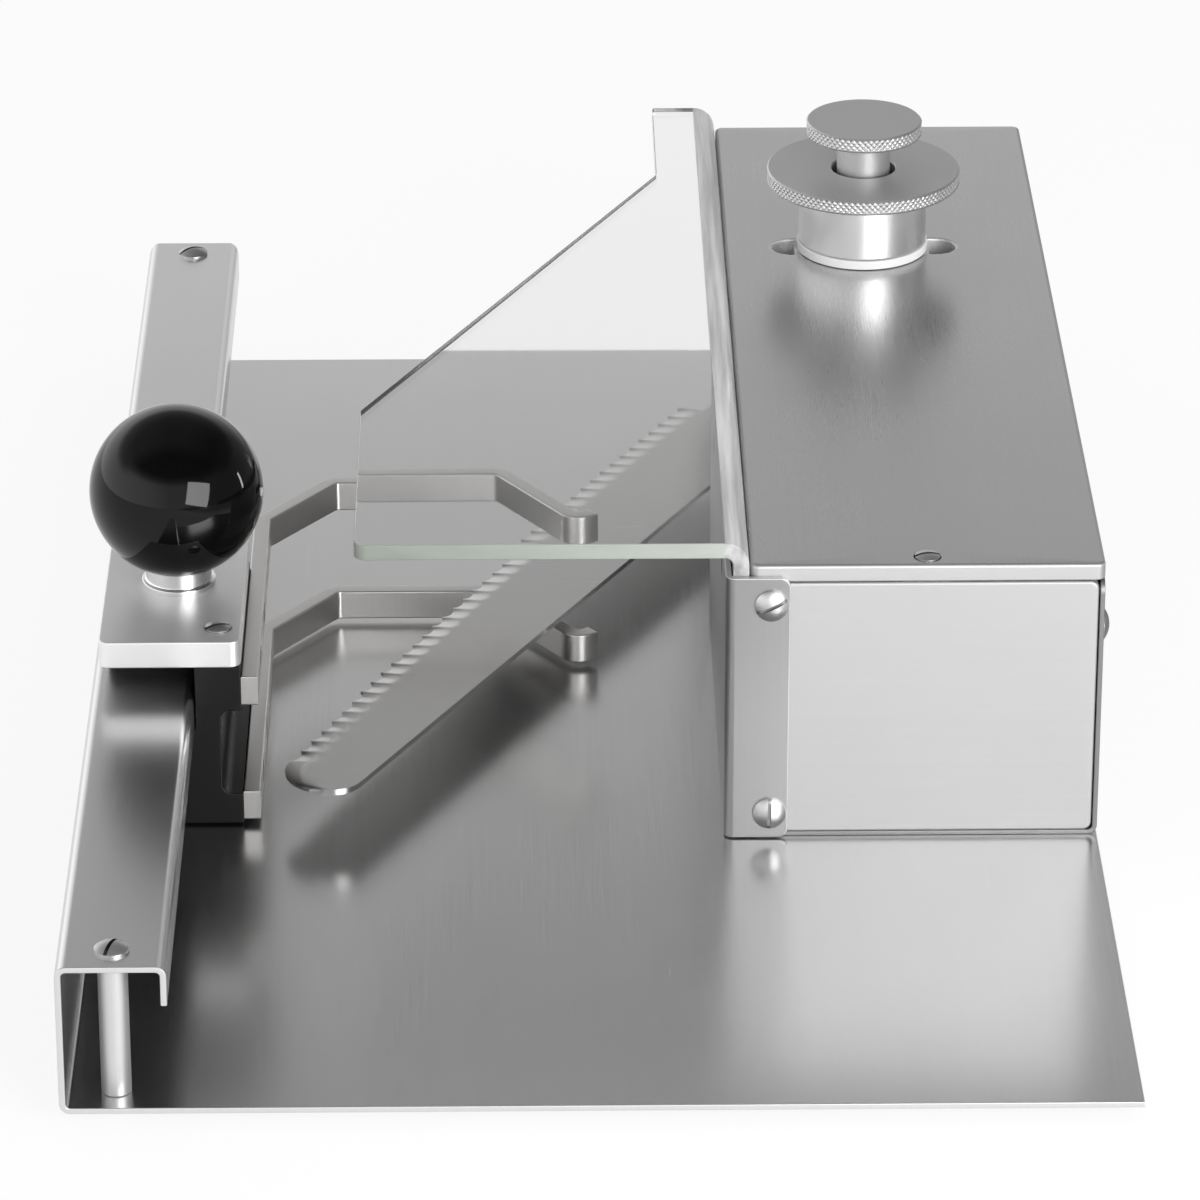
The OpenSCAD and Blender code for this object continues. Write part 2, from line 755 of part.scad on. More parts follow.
module knife_clamp() {
  color([0.7, 0.7, 0.72]) difference() {
    translate([holder_x, clamp_y, blade_low - clamp_t]) cube([holder_arm_w, holder_back - clamp_y, clamp_t]);
    clamp_screw_holes();
  }
}

module knife_clamp_screws() {
  color([0.8, 0.8, 0.8]) on_blade() for (s = clamp_screw_ss)
    translate([-clamp_screw_w, s, blade_low - clamp_t]) pan_screw(clamp_t + blade_t + holder_t);
}

module lift_nut() {
  color([0.78, 0.62, 0.3]) translate([knob_x, knob_y, blade_top]) difference() {
    union() {
      cylinder(h = nut_h, d = nut_d);
      translate([0, 0, holder_t]) cylinder(h = nut_h - holder_t, d = nut_d + 2 * thrust_h);
    }
    translate([0, 0, -over]) cylinder(h = nut_h + 2 * over, d = screw_d + 2 * play);
  }
}

module carrier() {
  color([0.7, 0.7, 0.72]) difference() {
    translate([knob_x - carrier_w / 2, knob_y - carrier_l / 2, carrier_z])
      cube([carrier_w, carrier_l, carrier_t]);
    for (y = rod_ys) translate([knob_x - carrier_w, y, rod_z]) rotate([0, 90, 0])
      cylinder(h = 2 * carrier_w, d = bush_d + 2 * play);
    for (x = pin_xs) translate([x, knob_y, carrier_z - over])
      cylinder(h = pin_set + over, d = pin_d + 2 * play);
    translate([knob_x, knob_y, carrier_z - over])
      cylinder(h = carrier_t / 2 + over, d = spindle_d + 2 * hole_play);
    translate([knob_x, knob_y, carrier_z + carrier_t / 2])
      cylinder(h = carrier_t, d = tube_d + 2 * play);
  }
}

module rod_bushes() {
  color([0.72, 0.5, 0.25]) for (y = rod_ys)
    translate([knob_x - carrier_w / 2, y, rod_z]) rotate([0, 90, 0]) difference() {
      cylinder(h = carrier_w, d = bush_d);
      translate([0, 0, -over]) cylinder(h = carrier_w + 2 * over, d = rod_d + 2 * play);
    }
}

module lift_pins() {
  color([0.85, 0.85, 0.85]) for (x = pin_xs)
    translate([x, knob_y, pin_foot]) cylinder(h = carrier_z + pin_set - pin_foot, d = pin_d);
}

module slot_stud() {
  color([0.75, 0.75, 0.75]) translate([knob_x, knob_y, carrier_z + carrier_t / 2]) difference() {
    cylinder(h = tube_top - carrier_z - carrier_t / 2, d = tube_d);
    translate([0, 0, -over]) cylinder(h = tube_top - carrier_z, d = spindle_d + 2 * hole_play);
  }
}

module slot_washer() {
  color([0.95, 0.95, 0.95]) translate([knob_x, knob_y, washer_z]) difference() {
    cylinder(h = washer_t, d = washer_d);
    translate([0, 0, -over]) cylinder(h = washer_t + 2 * over, d = tube_d + 2 * play);
  }
}

// A disc with a bevelled rim, flat side at z = 0
module bevelled_disc(d) {
  cylinder(h = disc_bevel, d1 = d - 2 * disc_bevel, d2 = d);
  translate([0, 0, disc_bevel]) cylinder(h = disc_t - 2 * disc_bevel, d = d);
  translate([0, 0, disc_t - disc_bevel]) cylinder(h = disc_bevel, d1 = d, d2 = d - 2 * disc_bevel);
}

module clamp_knob() {
  color([0.82, 0.82, 0.82]) translate([knob_x, knob_y, clamp_z]) difference() {
    union() {
      cylinder(h = clamp_collar_h, d = clamp_collar_d);
      translate([0, 0, clamp_collar_h]) bevelled_disc(clamp_disc_d);
    }
    translate([0, 0, -over]) cylinder(h = clamp_top, d = tube_d + 2 * play);
    translate([0, 0, clamp_web]) cylinder(h = clamp_top, d = clamp_bore_d);
  }
}

module height_knob() {
  color([0.82, 0.82, 0.82]) difference() {
    union() {
      translate([knob_x, knob_y, stem_z]) cylinder(h = height_disc_z - stem_z, d = stem_d);
      translate([knob_x, knob_y, height_disc_z]) bevelled_disc(height_disc_d);
    }
    translate([knob_x, knob_y, stem_z - over])
      cylinder(h = height_disc_z - stem_z + over, d = spindle_d + 2 * play);
  }
}

module height_spindle() {
  color([0.8, 0.8, 0.8]) translate([knob_x, knob_y, 0]) {
    translate([0, 0, spindle_foot])
      cylinder(h = carrier_z - gap - thrust_h - spindle_foot, d = screw_d);
    translate([0, 0, carrier_z - gap - thrust_h]) cylinder(h = thrust_h, d = thrust_d);
    translate([0, 0, carrier_z - gap]) cylinder(h = height_disc_z - carrier_z, d = spindle_d);
  }
}

module guide_rods() {
  color([0.85, 0.85, 0.85]) for (y = rod_ys)
    translate([box_x + box_t + gap, y, rod_z]) rotate([0, 90, 0])
      cylinder(h = box_w - 2 * box_t - 2 * gap, d = rod_d);
}

module rod_support(x) {
  difference() {
    translate([x, knob_y - carrier_l / 2, rod_z - support_h / 2]) cube([support_t, carrier_l, support_h]);
    for (y = rod_ys) translate([x - over, y, rod_z]) rotate([0, 90, 0])
      cylinder(h = support_t + 2 * over, d = rod_d + 2 * play);
  }
}

module left_rod_support() {
  color([0.65, 0.65, 0.66]) rod_support(box_x + box_t);
}

module right_rod_support() {
  color([0.65, 0.65, 0.66]) rod_support(right_x - box_t - support_t);
}

module tray_profile() {
  translate([box_x + box_r, plate_z]) square([box_w - 2 * box_r, box_t]);
  translate([box_x + box_r, plate_z + box_r]) fold(box_r, box_t, 180);
  translate([right_x - box_r, plate_z + box_r]) fold(box_r, box_t, 270);
  translate([box_x, plate_z + box_r]) square([box_t, wall_top - plate_z - box_r]);
  translate([right_x - box_t, plate_z + box_r]) square([box_t, wall_top - plate_z - box_r]);
}

// Cuts the top corners of both side walls round, seen from the side
module wall_corner_cuts() {
  translate([box_x - over, 0, 0]) rotate([90, 0, 90]) linear_extrude(box_w + 2 * over) {
    translate([box_y, wall_top]) mirror([0, 1]) corner_cut(wall_corner_r);
    translate([box_back, wall_top]) rotate(180) corner_cut(wall_corner_r);
  }
}

module housing_tray() {
  color([0.78, 0.78, 0.78]) difference() {
    along_y(box_y, box_l) tray_profile();
    wall_corner_cuts();
    translate([box_x - over, port_y0, plate_z + port_z]) cube([box_t + 2 * over, port_y1 - port_y0, port_h]);
    for (p = tray_screw_places()) translate([p[0], p[1], plate_z]) shank_hole(box_t);
    side_screw_holes();
    guard_screw_holes();
  }
}

// Places of the screws that hold the housing to the base plate
function tray_screw_places() = [
  for (x = [panel_x0 + tray_screw_inset, panel_x1 - tray_screw_inset],
       y = [box_y + flange_w / 2 + box_t, box_back - flange_w / 2 - box_t]) [x, y]
];

module side_screw_holes() {
  for (y = side_screw_ys) translate([right_x - 2 * box_t - gap - over, y, side_screw_z])
    rotate([0, 90, 0]) cylinder(h = 3 * box_t + 2 * over, d = thread_d + 2 * hole_play);
}

module guard_screw_holes() {
  for (y = guard_screw_ys) translate([bracket_x, y, guard_screw_z]) rotate([0, -90, 0])
    sunk_hole(box_x + 2 * box_t - bracket_x, small_head_d, small_thread_d);
}

// An end panel folded from sheet, its face at y = 0 and its flanges towards +Y
module end_panel() {
  wide = panel_x1 - panel_x0;
  tall = wall_top - panel_z;
  difference() {
    translate([panel_x0, 0, panel_z]) cube([wide, flange_w, tall]);
    translate([panel_x0 + box_t, box_t, panel_z + box_t])
      cube([wide - 2 * box_t, flange_w, tall - 2 * box_t]);
    for (x = [panel_x0, panel_x1]) translate([x, 0, panel_z - over])
      rotate([0, 0, x < panel_x1 ? 0 : 90]) linear_extrude(tall + 2 * over) corner_cut(box_t);
    for (side = [0, 1]) translate([panel_x0 + side * wide, flange_w + over, panel_z])
      mirror([side, 0, 0]) rotate([90, 0, 0]) linear_extrude(flange_w + 2 * over) corner_cut(box_r - box_t);
    for (side = [0, 1]) translate([panel_x0 - over, 0, panel_z + side * tall]) mirror([0, 0, side])
      rotate([90, 0, 90]) linear_extrude(wide + 2 * over) corner_cut(box_t);
  }
}

module panel_holes(is_front) {
  for (p = tray_screw_places()) translate([p[0], p[1], panel_z]) shank_hole(box_t);
  side_screw_holes();
  if (is_front) for (z = bracket_screw_zs) translate([bracket_screw_x, box_y + box_t + over, z])
    rotate([90, 0, 0]) cylinder(h = box_t + 2 * over, d = thread_d + 2 * hole_play);
}

module front_panel() {
  color([0.84, 0.84, 0.84]) difference() {
    translate([0, panel_front, 0]) end_panel();
    panel_holes(true);
    lid_block_room(box_y + box_t);
  }
}

module rear_panel() {
  color([0.84, 0.84, 0.84]) difference() {
    translate([0, box_back, 0]) mirror([0, 1, 0]) end_panel();
    panel_holes(false);
    lid_block_room(box_back - box_t - lid_block_l);
  }
}

// The notch in a panel's top flange that the lid block stands in
module lid_block_room(y) {
  translate([(box_x + right_x) / 2 - lid_block_w / 2 - gap, y - (y < 0 ? 0 : gap), wall_top - box_t - over])
    cube([lid_block_w + 2 * gap, lid_block_l + gap, box_t + 2 * over]);
}

module lid_blocks() {
  color([0.65, 0.65, 0.66]) for (y = [box_y + box_t, box_back - box_t - lid_block_l]) difference() {
    translate([(box_x + right_x) / 2 - lid_block_w / 2, y, lid_under - lid_block_h])
      cube([lid_block_w, lid_block_l, lid_block_h]);
    translate([(box_x + right_x) / 2, y < 0 ? box_y + lid_screw_inset : box_back - lid_screw_inset, lid_z])
      sunk_hole(lid_screw_l + over, head_d, thread_d);
  }
}

module lid() {
  color([0.6, 0.6, 0.61]) difference() {
    translate([box_x, box_y, lid_z - rim_h]) lid_shell(box_w, box_l);
    translate([0, 0, lid_z - box_t - over]) linear_extrude(box_t + 2 * over) lid_slot();
    for (y = [box_y + lid_screw_inset, box_back - lid_screw_inset])
      translate([(box_x + right_x) / 2, y, lid_z]) sunk_hole(box_t + dome_h, head_d, thread_d);
  }
}

// A shallow tray, upside down, whose long and short top edges are folded round
module lid_shell(wide, long) {
  difference() {
    cube([wide, long, rim_h]);
    translate([box_t, box_t, -over]) cube([wide - 2 * box_t, long - 2 * box_t, rim_h - box_t + over]);
    for (side = [0, 1]) {
      translate([side * wide, long + over, rim_h]) mirror([side, 0, 0]) rotate([90, 0, 0])
        linear_extrude(long + 2 * over) mirror([0, 1]) corner_cut(box_t);
      translate([-over, side * long, rim_h]) mirror([0, side, 0]) rotate([90, 0, 90])
        linear_extrude(wide + 2 * over) mirror([0, 1]) corner_cut(box_t);
      for (end = [0, 1]) translate([side * wide, end * long, -over])
        mirror([side, 0, 0]) mirror([0, end, 0]) linear_extrude(rim_h + 2 * over) corner_cut(box_t);
    }
  }
}

module lid_slot() {
  slot_r = lid_slot_w / 2;
  run = lid_slot_l / 2 - slot_r;
  translate([knob_x + lid_slot_shift - run, knob_y - slot_r]) square([2 * run, 2 * slot_r]);
  for (side = [-1, 1]) translate([knob_x + lid_slot_shift + side * run, knob_y]) circle(slot_r);
}

module lid_screws() {
  color([0.8, 0.8, 0.8]) for (y = [box_y + lid_screw_inset, box_back - lid_screw_inset])
    translate([(box_x + right_x) / 2, y, lid_z])
      sunk_screw(lid_screw_l, head_d, thread_d, lid_slot_turn, slot_d);
}

module side_screws() {
  color([0.8, 0.8, 0.8]) for (y = side_screw_ys)
    translate([right_x, y, side_screw_z]) rotate([0, 90, 0])
      dome_screw(box_t * 2 + gap + dome_h * 2, side_slot_turn);
}

module side_nuts() {
  color([0.75, 0.75, 0.75]) for (y = side_screw_ys)
    translate([panel_x1 - box_t, y, side_screw_z]) rotate([0, -90, 0]) hex_nut(dome_h + box_t);
}

module hex_nut(h) {
  difference() {
    cylinder(h = h, d = 2 * thread_d, $fn = 6);
    translate([0, 0, -over]) cylinder(h = h + 2 * over, d = thread_d + 2 * hole_play);
  }
}

module tray_screws() {
  color([0.8, 0.8, 0.8]) for (p = tray_screw_places())
    translate([p[0], p[1], foot_h]) pan_screw(base_t + 2 * box_t + 2 * dome_h);
}

module tray_nuts() {
  color([0.75, 0.75, 0.75]) for (p = tray_screw_places())
    translate([p[0], p[1], panel_z + box_t]) hex_nut(dome_h + box_t);
}

module bracket_profile() {
  translate([bracket_x + bracket_r, bracket_y]) square([bracket_w - bracket_r, bracket_t]);
  translate([bracket_x + bracket_r, bracket_y + bracket_r]) fold(bracket_r, bracket_t, 180);
  translate([bracket_x, bracket_y + bracket_r]) square([bracket_t, bracket_l - bracket_r]);
}

module corner_bracket() {
  color([0.8, 0.8, 0.8]) difference() {
    translate([0, 0, bracket_z]) linear_extrude(bracket_h) bracket_profile();
    for (side = [0, 1]) translate([bracket_x + bracket_w, bracket_y - over, bracket_z + side * bracket_h])
      mirror([0, 0, side]) rotate([90, 0, 180]) linear_extrude(bracket_t + 2 * over) corner_cut(bracket_r);
    for (z = bracket_screw_zs) translate([bracket_screw_x, box_y + over, z])
      rotate([90, 0, 0]) cylinder(h = bracket_t + 2 * over, d = thread_d + 2 * hole_play);
    guard_screw_holes();
  }
}

module bracket_screws() {
  color([0.8, 0.8, 0.8]) for (i = [0, 1]) translate([bracket_screw_x, bracket_y, bracket_screw_zs[i]])
    rotate([90, 0, 0]) dome_screw(bracket_t + box_t + dome_h, bracket_slot_turns[i]);
}

module guard_profile() {
  translate([guard_left, guard_top - guard_t]) square([guard_w - guard_r, guard_t]);
  translate([guard_x1 - guard_r, guard_top - guard_r]) fold(guard_r, guard_t, 0);
  translate([guard_leg_x, guard_top - guard_leg]) square([guard_t, guard_leg - guard_r]);
}

module guard_plan() {
  back = box_back + gap;
  difference() {
    polygon([
      [guard_left, guard_front],
      [guard_x1 + over, guard_front],
      [guard_x1 + over, back],
      [guard_narrow_x, back],
      [guard_narrow_x, back - guard_narrow_l],
      [guard_left, guard_front + guard_wide_l]
    ]);
    translate([guard_left, guard_front]) corner_cut(guard_corner_r);
  }
}

module guard() {
  color([0.8, 0.9, 0.87, 0.4]) difference() {
    intersection() {
      along_y(guard_front, box_l + gap) guard_profile();
      translate([0, 0, guard_top - guard_leg - over]) linear_extrude(guard_leg + 2 * over) guard_plan();
    }
    guard_screw_holes();
  }
}

module guard_screws() {
  color([0.8, 0.8, 0.8]) for (y = guard_screw_ys) translate([bracket_x, y, guard_screw_z])
    rotate([0, -90, 0]) flat_screw(box_x + box_t + small_nut_h - bracket_x, small_head_d, small_thread_d);
}

module guard_nuts() {
  color([0.75, 0.75, 0.75]) for (y = guard_screw_ys)
    translate([box_x + box_t, y, guard_screw_z]) rotate([0, 90, 0]) difference() {
      cylinder(h = small_nut_h, d = 2 * small_thread_d, $fn = 6);
      translate([0, 0, -over]) cylinder(h = small_nut_h + 2 * over, d = small_thread_d + 2 * hole_play);
    }
}

base_plate();
rubber_feet();
rail_posts();
rail_screws();
post_screws();
slide_block();
slide_plate();
slide_plate_screws();
knob_neck();
ball_knob();
upper_band();
lower_band();
band_screws();
knife();
knife_holder();
knife_clamp();
knife_clamp_screws();
lift_nut();
carrier();
rod_bushes();
lift_pins();
slot_stud();
slot_washer();
clamp_knob();
height_knob();
height_spindle();
guide_rods();
left_rod_support();
right_rod_support();
housing_tray();
front_panel();
rear_panel();
lid_blocks();
lid();
lid_screws();
side_screws();
side_nuts();
tray_screws();
tray_nuts();
corner_bracket();
bracket_screws();
guard();
guard_screws();
guard_nuts();
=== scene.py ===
# %% [markdown]
# # Dressing a bread roll cutter
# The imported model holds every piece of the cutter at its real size, and it stays a fixed frame.
# This file gives the pieces their looks: folded steel with rounded edges, knurled aluminium, a glossy
# ball, a clear guard. Where a plain solid lacks the small shapes that catch the light, a new surface
# is worked out with numpy and stands for it. Everything is in metres, in the frame of the solids.

# %% The fixed frame
import json
from math import cos, pi, radians, sin, sqrt, tan

import bmesh
import bpy
import numpy as np
from mathutils import Euler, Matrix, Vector
from mathutils.geometry import delaunay_2d_cdt


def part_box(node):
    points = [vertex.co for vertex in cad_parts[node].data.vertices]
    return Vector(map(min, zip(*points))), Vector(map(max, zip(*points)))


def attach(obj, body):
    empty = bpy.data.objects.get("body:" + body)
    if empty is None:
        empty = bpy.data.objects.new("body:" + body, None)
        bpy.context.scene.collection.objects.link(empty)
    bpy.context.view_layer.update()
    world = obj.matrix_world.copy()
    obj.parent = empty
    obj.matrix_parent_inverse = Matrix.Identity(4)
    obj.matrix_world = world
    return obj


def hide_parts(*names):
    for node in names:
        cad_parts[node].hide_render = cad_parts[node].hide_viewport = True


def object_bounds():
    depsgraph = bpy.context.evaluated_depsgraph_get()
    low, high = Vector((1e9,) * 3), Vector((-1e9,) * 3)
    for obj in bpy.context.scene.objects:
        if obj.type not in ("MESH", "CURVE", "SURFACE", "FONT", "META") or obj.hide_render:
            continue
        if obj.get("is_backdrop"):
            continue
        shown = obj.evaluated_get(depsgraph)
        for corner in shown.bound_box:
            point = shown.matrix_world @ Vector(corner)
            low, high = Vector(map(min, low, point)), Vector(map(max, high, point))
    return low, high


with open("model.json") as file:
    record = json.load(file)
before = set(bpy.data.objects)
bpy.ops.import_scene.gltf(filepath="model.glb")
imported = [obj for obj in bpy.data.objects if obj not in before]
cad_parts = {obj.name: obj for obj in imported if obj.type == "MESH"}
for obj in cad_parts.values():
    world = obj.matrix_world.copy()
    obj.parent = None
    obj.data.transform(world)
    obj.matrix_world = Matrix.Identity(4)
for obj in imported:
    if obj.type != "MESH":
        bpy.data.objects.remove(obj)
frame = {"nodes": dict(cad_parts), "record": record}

cad_box = [list(corner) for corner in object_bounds()]
MM = 0.001
record = frame["record"]
body_of = {n: body for body, names in record["behaviour"]["bodies"].items() for n in names}
slot_of = {part["node"]: part["material_slot"] for part in record["subparts"]}


def low_high(node):
    """The lowest and the highest corner of a solid, as arrays."""
    low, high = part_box(node)
    return np.array(low), np.array(high)


# %% [markdown]
# ## The camera
# The camera looks down on the cutter from about 1.7 m with a long lens. Its place, turn and lens were
# found by matching straight edges of the base plate, the rail and the housing, so it needs no shift.

# %% The camera
SENSOR = 36.0
camera_place = Vector((-17.5, -1510.4, 739.9)) * MM
camera_down, camera_right = radians(25.15), radians(0.75)
focal_pixels, frame_pixels = 6432, 1200
camera_data = bpy.data.cameras.new("camera")
camera_data.sensor_width = SENSOR
camera_data.lens = SENSOR * focal_pixels / frame_pixels
camera_data.clip_end = 20
camera = bpy.data.objects.new("camera", camera_data)
camera.location = camera_place
camera.rotation_euler = Euler((pi / 2 - camera_down, 0, -camera_right))
bpy.context.scene.collection.objects.link(camera)
bpy.context.scene.camera = camera
bpy.context.scene.view_settings.view_transform = "Standard"
print(f"lens {camera_data.lens:.1f} mm")

# %% [markdown]
# ## Shader sums in plain Python
# A material's numbers are easier to read as sums than as boxes and wires. One small class wraps an
# output socket: adding, taking away or multiplying makes a Math node, and `node` adds any other one.

# %% Wires
class Wire:
    """An output socket of a material, with which one can reckon."""

    def __init__(self, tree, socket=None):
        self.tree, self.socket = tree, socket

    def node(self, kind, settings=None, inputs=None, out=0):
        """Adds a node of a kind: its settings first, then the values or wires of its sockets."""
        made = self.tree.nodes.new(kind)
        for key, value in (settings or {}).items():
            if key == "stops":
                ramp = made.color_ramp.elements
                while len(ramp) < len(value):
                    ramp.new(0.5)
                for element, (place, level) in zip(ramp, value):
                    element.position, element.color = place, (level, level, level, 1)
            else:
                setattr(made, key, value)
        for key, value in (inputs or {}).items():
            if isinstance(value, Wire):
                self.tree.links.new(value.socket, made.inputs[key])
            else:
                made.inputs[key].default_value = value
        return Wire(self.tree, made.outputs[out])

    def math(self, operation, *values):
        return self.node("ShaderNodeMath", {"operation": operation}, dict(enumerate(values)))

    def __add__(self, other):
        return self.math("ADD", self, other)

    def __sub__(self, other):
        return self.math("SUBTRACT", self, other)

    def __rsub__(self, other):
        return self.math("SUBTRACT", other, self)

    def __mul__(self, other):
        return self.math("MULTIPLY", self, other)

    __radd__, __rmul__ = __add__, __mul__

    def mix(self, first, second):
        """A colour between two: first where this wire is 0, second where it is 1."""
        return self.node("ShaderNodeMix", {"data_type": "RGBA"}, {0: self, 6: first, 7: second}, out=2)


def paint(name, fill, **constants):
    """A new material. fill(wire, place) returns what varies, by socket name; constants stay fixed."""
    material = bpy.data.materials.new(name)
    material.use_nodes = True
    tree = material.node_tree
    shader = next(n for n in tree.nodes if n.type == "BSDF_PRINCIPLED")
    wire = Wire(tree)
    place = wire.node("ShaderNodeTexCoord", out="Object")
    for socket, value in {**constants, **fill(wire, place)}.items():
        if isinstance(value, Wire):
            tree.links.new(value.socket, shader.inputs[socket])
        else:
            shader.inputs[socket].default_value = value
    print("finish:", material.name)
    return material


def speckle(wire, place, sizes, detail=2.0):
    """Noise whose spots have their own size along x, y and z, given in millimetres."""
    scale = tuple(1 / (size * MM) for size in sizes)
    spread = wire.node("ShaderNodeMapping", {}, {"Vector": place, "Scale": scale})
    return wire.node("ShaderNodeTexNoise", {}, {"Vector": spread, "Scale": 1.0, "Detail": detail})


def bump(wire, height, depth, strength=1.0):
    """A normal from a height between 0 and 1 that stands for a depth in millimetres."""
    return wire.node("ShaderNodeBump", {}, {
        "Height": height, "Distance": depth * MM, "Strength": strength})


def grey(level, warmth=0.0):
    """A neutral colour, a little warmer with warmth."""
    return (level * (1 + warmth), level, level * (1 - warmth), 1)


def ray(wire, kind):
    """What the Light Path node says of the ray that is looked along."""
    return wire.node("ShaderNodeLightPath", out=kind)


def axis_of(vector, k):
    """One of the three numbers of a vector."""
    return vector.node("ShaderNodeSeparateXYZ", {}, {0: vector}, out=k)


def rising(value, low, high, top=1.0):
    """0 where the value is low, top where it is high, and a straight slope between."""
    return value.node("ShaderNodeMapRange", {}, {
        "Value": value, "From Min": low, "From Max": high, "To Max": top})


print("shader sums are ready")

# %% [markdown]
# ## Brushed and polished metal
# Stainless sheet leaves the mill with a fine grain in one direction, and it blurs what the steel
# mirrors. Two stretched noises shade the colour a little, the finer of them also feeds the roughness
# and a bump, and broad soft clouds stand for the uneven touch of the brush. The grain runs along the
# axis in which the noise is long. Sawn edges, turned rims and slots get plainer metals of their own,
# painted as lit or shaded copies: the cut edges, the lid's rim and its slot paler, as painted light,
# and the port's edges, the right-side heads and the screw slots darker, as painted shade.

# %% Metals
def grain_sizes(axis, wide, long):
    """Noise sizes for scratches that run along one axis."""
    return tuple(long if letter == axis else wide for letter in "xyz")


def brushed(name, level, axis, rough, scratch=0.25, warmth=0.0):
    """Sheet metal with a grain along an axis."""
    def fill(wire, place):
        fine = speckle(wire, place, grain_sizes(axis, 0.3, 25))
        streaks = speckle(wire, place, grain_sizes(axis, 1.5, 120))
        clouds = speckle(wire, place, (45, 45, 45), 3.0)
        shade = (fine - 0.5) * 0.4 + (streaks - 0.5) * 0.2 + 0.5
        return {
            "Base Color": shade.mix(grey(level * 0.9, warmth), grey(level * 1.1, warmth)),
            "Roughness": (fine - 0.5) * 0.08 + (clouds - 0.5) * 0.06 + rough,
            "Normal": bump(wire, fine, 0.002, scratch),
        }
    return paint(name, fill, Metallic=1.0)


def satin(level, rough, pit=0.02):
    """Metal or plastic with an even, fine-blasted surface."""
    def fill(wire, place):
        fine = speckle(wire, place, (0.25, 0.25, 0.25))
        clouds = speckle(wire, place, (9, 9, 9), 3.0)
        shade = (fine - 0.5) * 0.3 + (clouds - 0.5) * 0.3 + 0.5
        return {
            "Base Color": shade.mix(grey(level * 0.92), grey(level * 1.08)),
            "Roughness": (clouds - 0.5) * 0.1 + rough,
            "Normal": bump(wire, fine, pit, 0.3),
        }
    return fill


bed_steel = brushed("bed_steel", 0.64, "y", 0.24)
wall_steel = brushed("wall_steel", 0.62, "y", 0.30)
front_steel = brushed("front_steel", 0.6, "x", 0.62)
# The lid's rim is painted paler than its top, a painted light.
lit_rim_steel = brushed("lit_rim_steel", 0.6, "x", 0.55)
bracket_steel = brushed("bracket_steel", 0.39, "z", 0.4)
lid_steel = brushed("lid_steel", 0.49, "y", 0.29, 0.04)
bar_steel = brushed("bar_steel", 0.63, "z", 0.36, 0.5, 0.02)
# The cut edges' steel is rougher than the faces and painted paler, a painted light from the front.
lit_cut_steel = brushed("lit_cut_steel", 0.68, "z", 0.5)
# A dark steel, painted shade, for the edges of the knife's port and the heads on the housing's right
# side.
shaded_steel = brushed("shaded_steel", 0.30, "z", 0.5)
# The lid's slot is painted much paler than the lid, a painted highlight.
lit_slot_steel = brushed("lit_slot_steel", 0.85, "z", 0.6)
blade_steel = brushed("blade_steel", 0.5, "x", 0.25, 0.15, 0.01)
polished_steel = paint("polished_steel", satin(0.85, 0.2, 0.002), Metallic=1.0)
satin_aluminium = paint("satin_aluminium", satin(0.86, 0.5), Metallic=0.85)
turned_aluminium = paint("turned_aluminium", satin(0.6, 0.52, 0.01), Metallic=0.95)
# The collar's aluminium is painted paler than the knob's faces, a painted highlight.
lit_collar_aluminium = paint("lit_collar_aluminium", satin(0.88, 0.42, 0.01), Metallic=0.95)
screw_steel = paint("screw_steel", satin(0.58, 0.45, 0.004), Metallic=1.0)
# The insides of the screw slots: painted shade, darker in most heads, less dark in the bracket's.
slot_shade_dark = paint("slot_shade_dark", satin(0.08, 0.6, 0.004), Metallic=1.0)
slot_shade_pale = paint("slot_shade_pale", satin(0.3, 0.4, 0.004), Metallic=1.0)
brass = paint("brass", lambda wire, place: {
    **satin(0.7, 0.3)(wire, place), "Base Color": (0.72, 0.56, 0.27, 1)}, Metallic=1.0)

# %% [markdown]
# ## Plastics, rubber and acrylic
# The ball is glossy black phenolic, the slide block is machined black nylon, which scatters light,
# and the washer is white plastic. The guard is acrylic in three materials: its faces are clear, the
# sawn front edge gathers light from the whole sheet and looks grey-green, and the bend is painted pale
# with streaks, a painted highlight with streaks of painted reflection.

# %% Plastics
def polish(spot, change, rough):
    """A glossy surface whose roughness changes a little from spot to spot."""
    def fill(wire, place):
        return {"Roughness": (speckle(wire, place, (spot, spot, spot)) - 0.5) * change + rough}
    return fill


ball_plastic = paint("ball_plastic", polish(6, 0.03, 0.05), **{
    "Base Color": grey(0.002), "IOR": 1.5, "Specular IOR Level": 0.25})
block_plastic = paint("block_plastic", satin(0.005, 0.42, 0.05), **{
    "IOR": 1.5, "Specular IOR Level": 0.25})
washer_plastic = paint("washer_plastic", satin(0.82, 0.4, 0.01), IOR=1.5)
foot_rubber = paint("foot_rubber", satin(0.03, 0.75, 0.06), IOR=1.5)
acrylic = paint("acrylic", polish(30, 0.02, 0.02), **{
    "Base Color": (0.855, 0.862, 0.857, 1), "Specular Tint": grey(0.1),
    "IOR": 1.38, "Transmission Weight": 1.0})
guard_low, guard_high = low_high("guard")


def edge_look(wire, place):
    """The sawn front edge: green-grey, and paler towards the bend."""
    paler = rising(axis_of(place, 0), guard_low[0], guard_high[0], 0.9)
    cloud = (speckle(wire, place, (12, 12, 4)) - 0.5) * 0.4
    full_green, pale_green = (0.34, 0.38, 0.325, 1), (0.62, 0.66, 0.60, 1)
    return {"Base Color": (paler + cloud).mix(full_green, pale_green), "Roughness": 0.35}


def bend_highlight_look(wire, place):
    """The bend and the leg: painted pale, a painted highlight, with streaks of painted reflection."""
    streaks = speckle(wire, place, (2.5, 60, 4), 4.0)
    level = rising(streaks, 0.35, 0.65)
    return {"Base Color": level.mix(grey(0.5), grey(0.9)), "Roughness": streaks * 0.3 + 0.05}


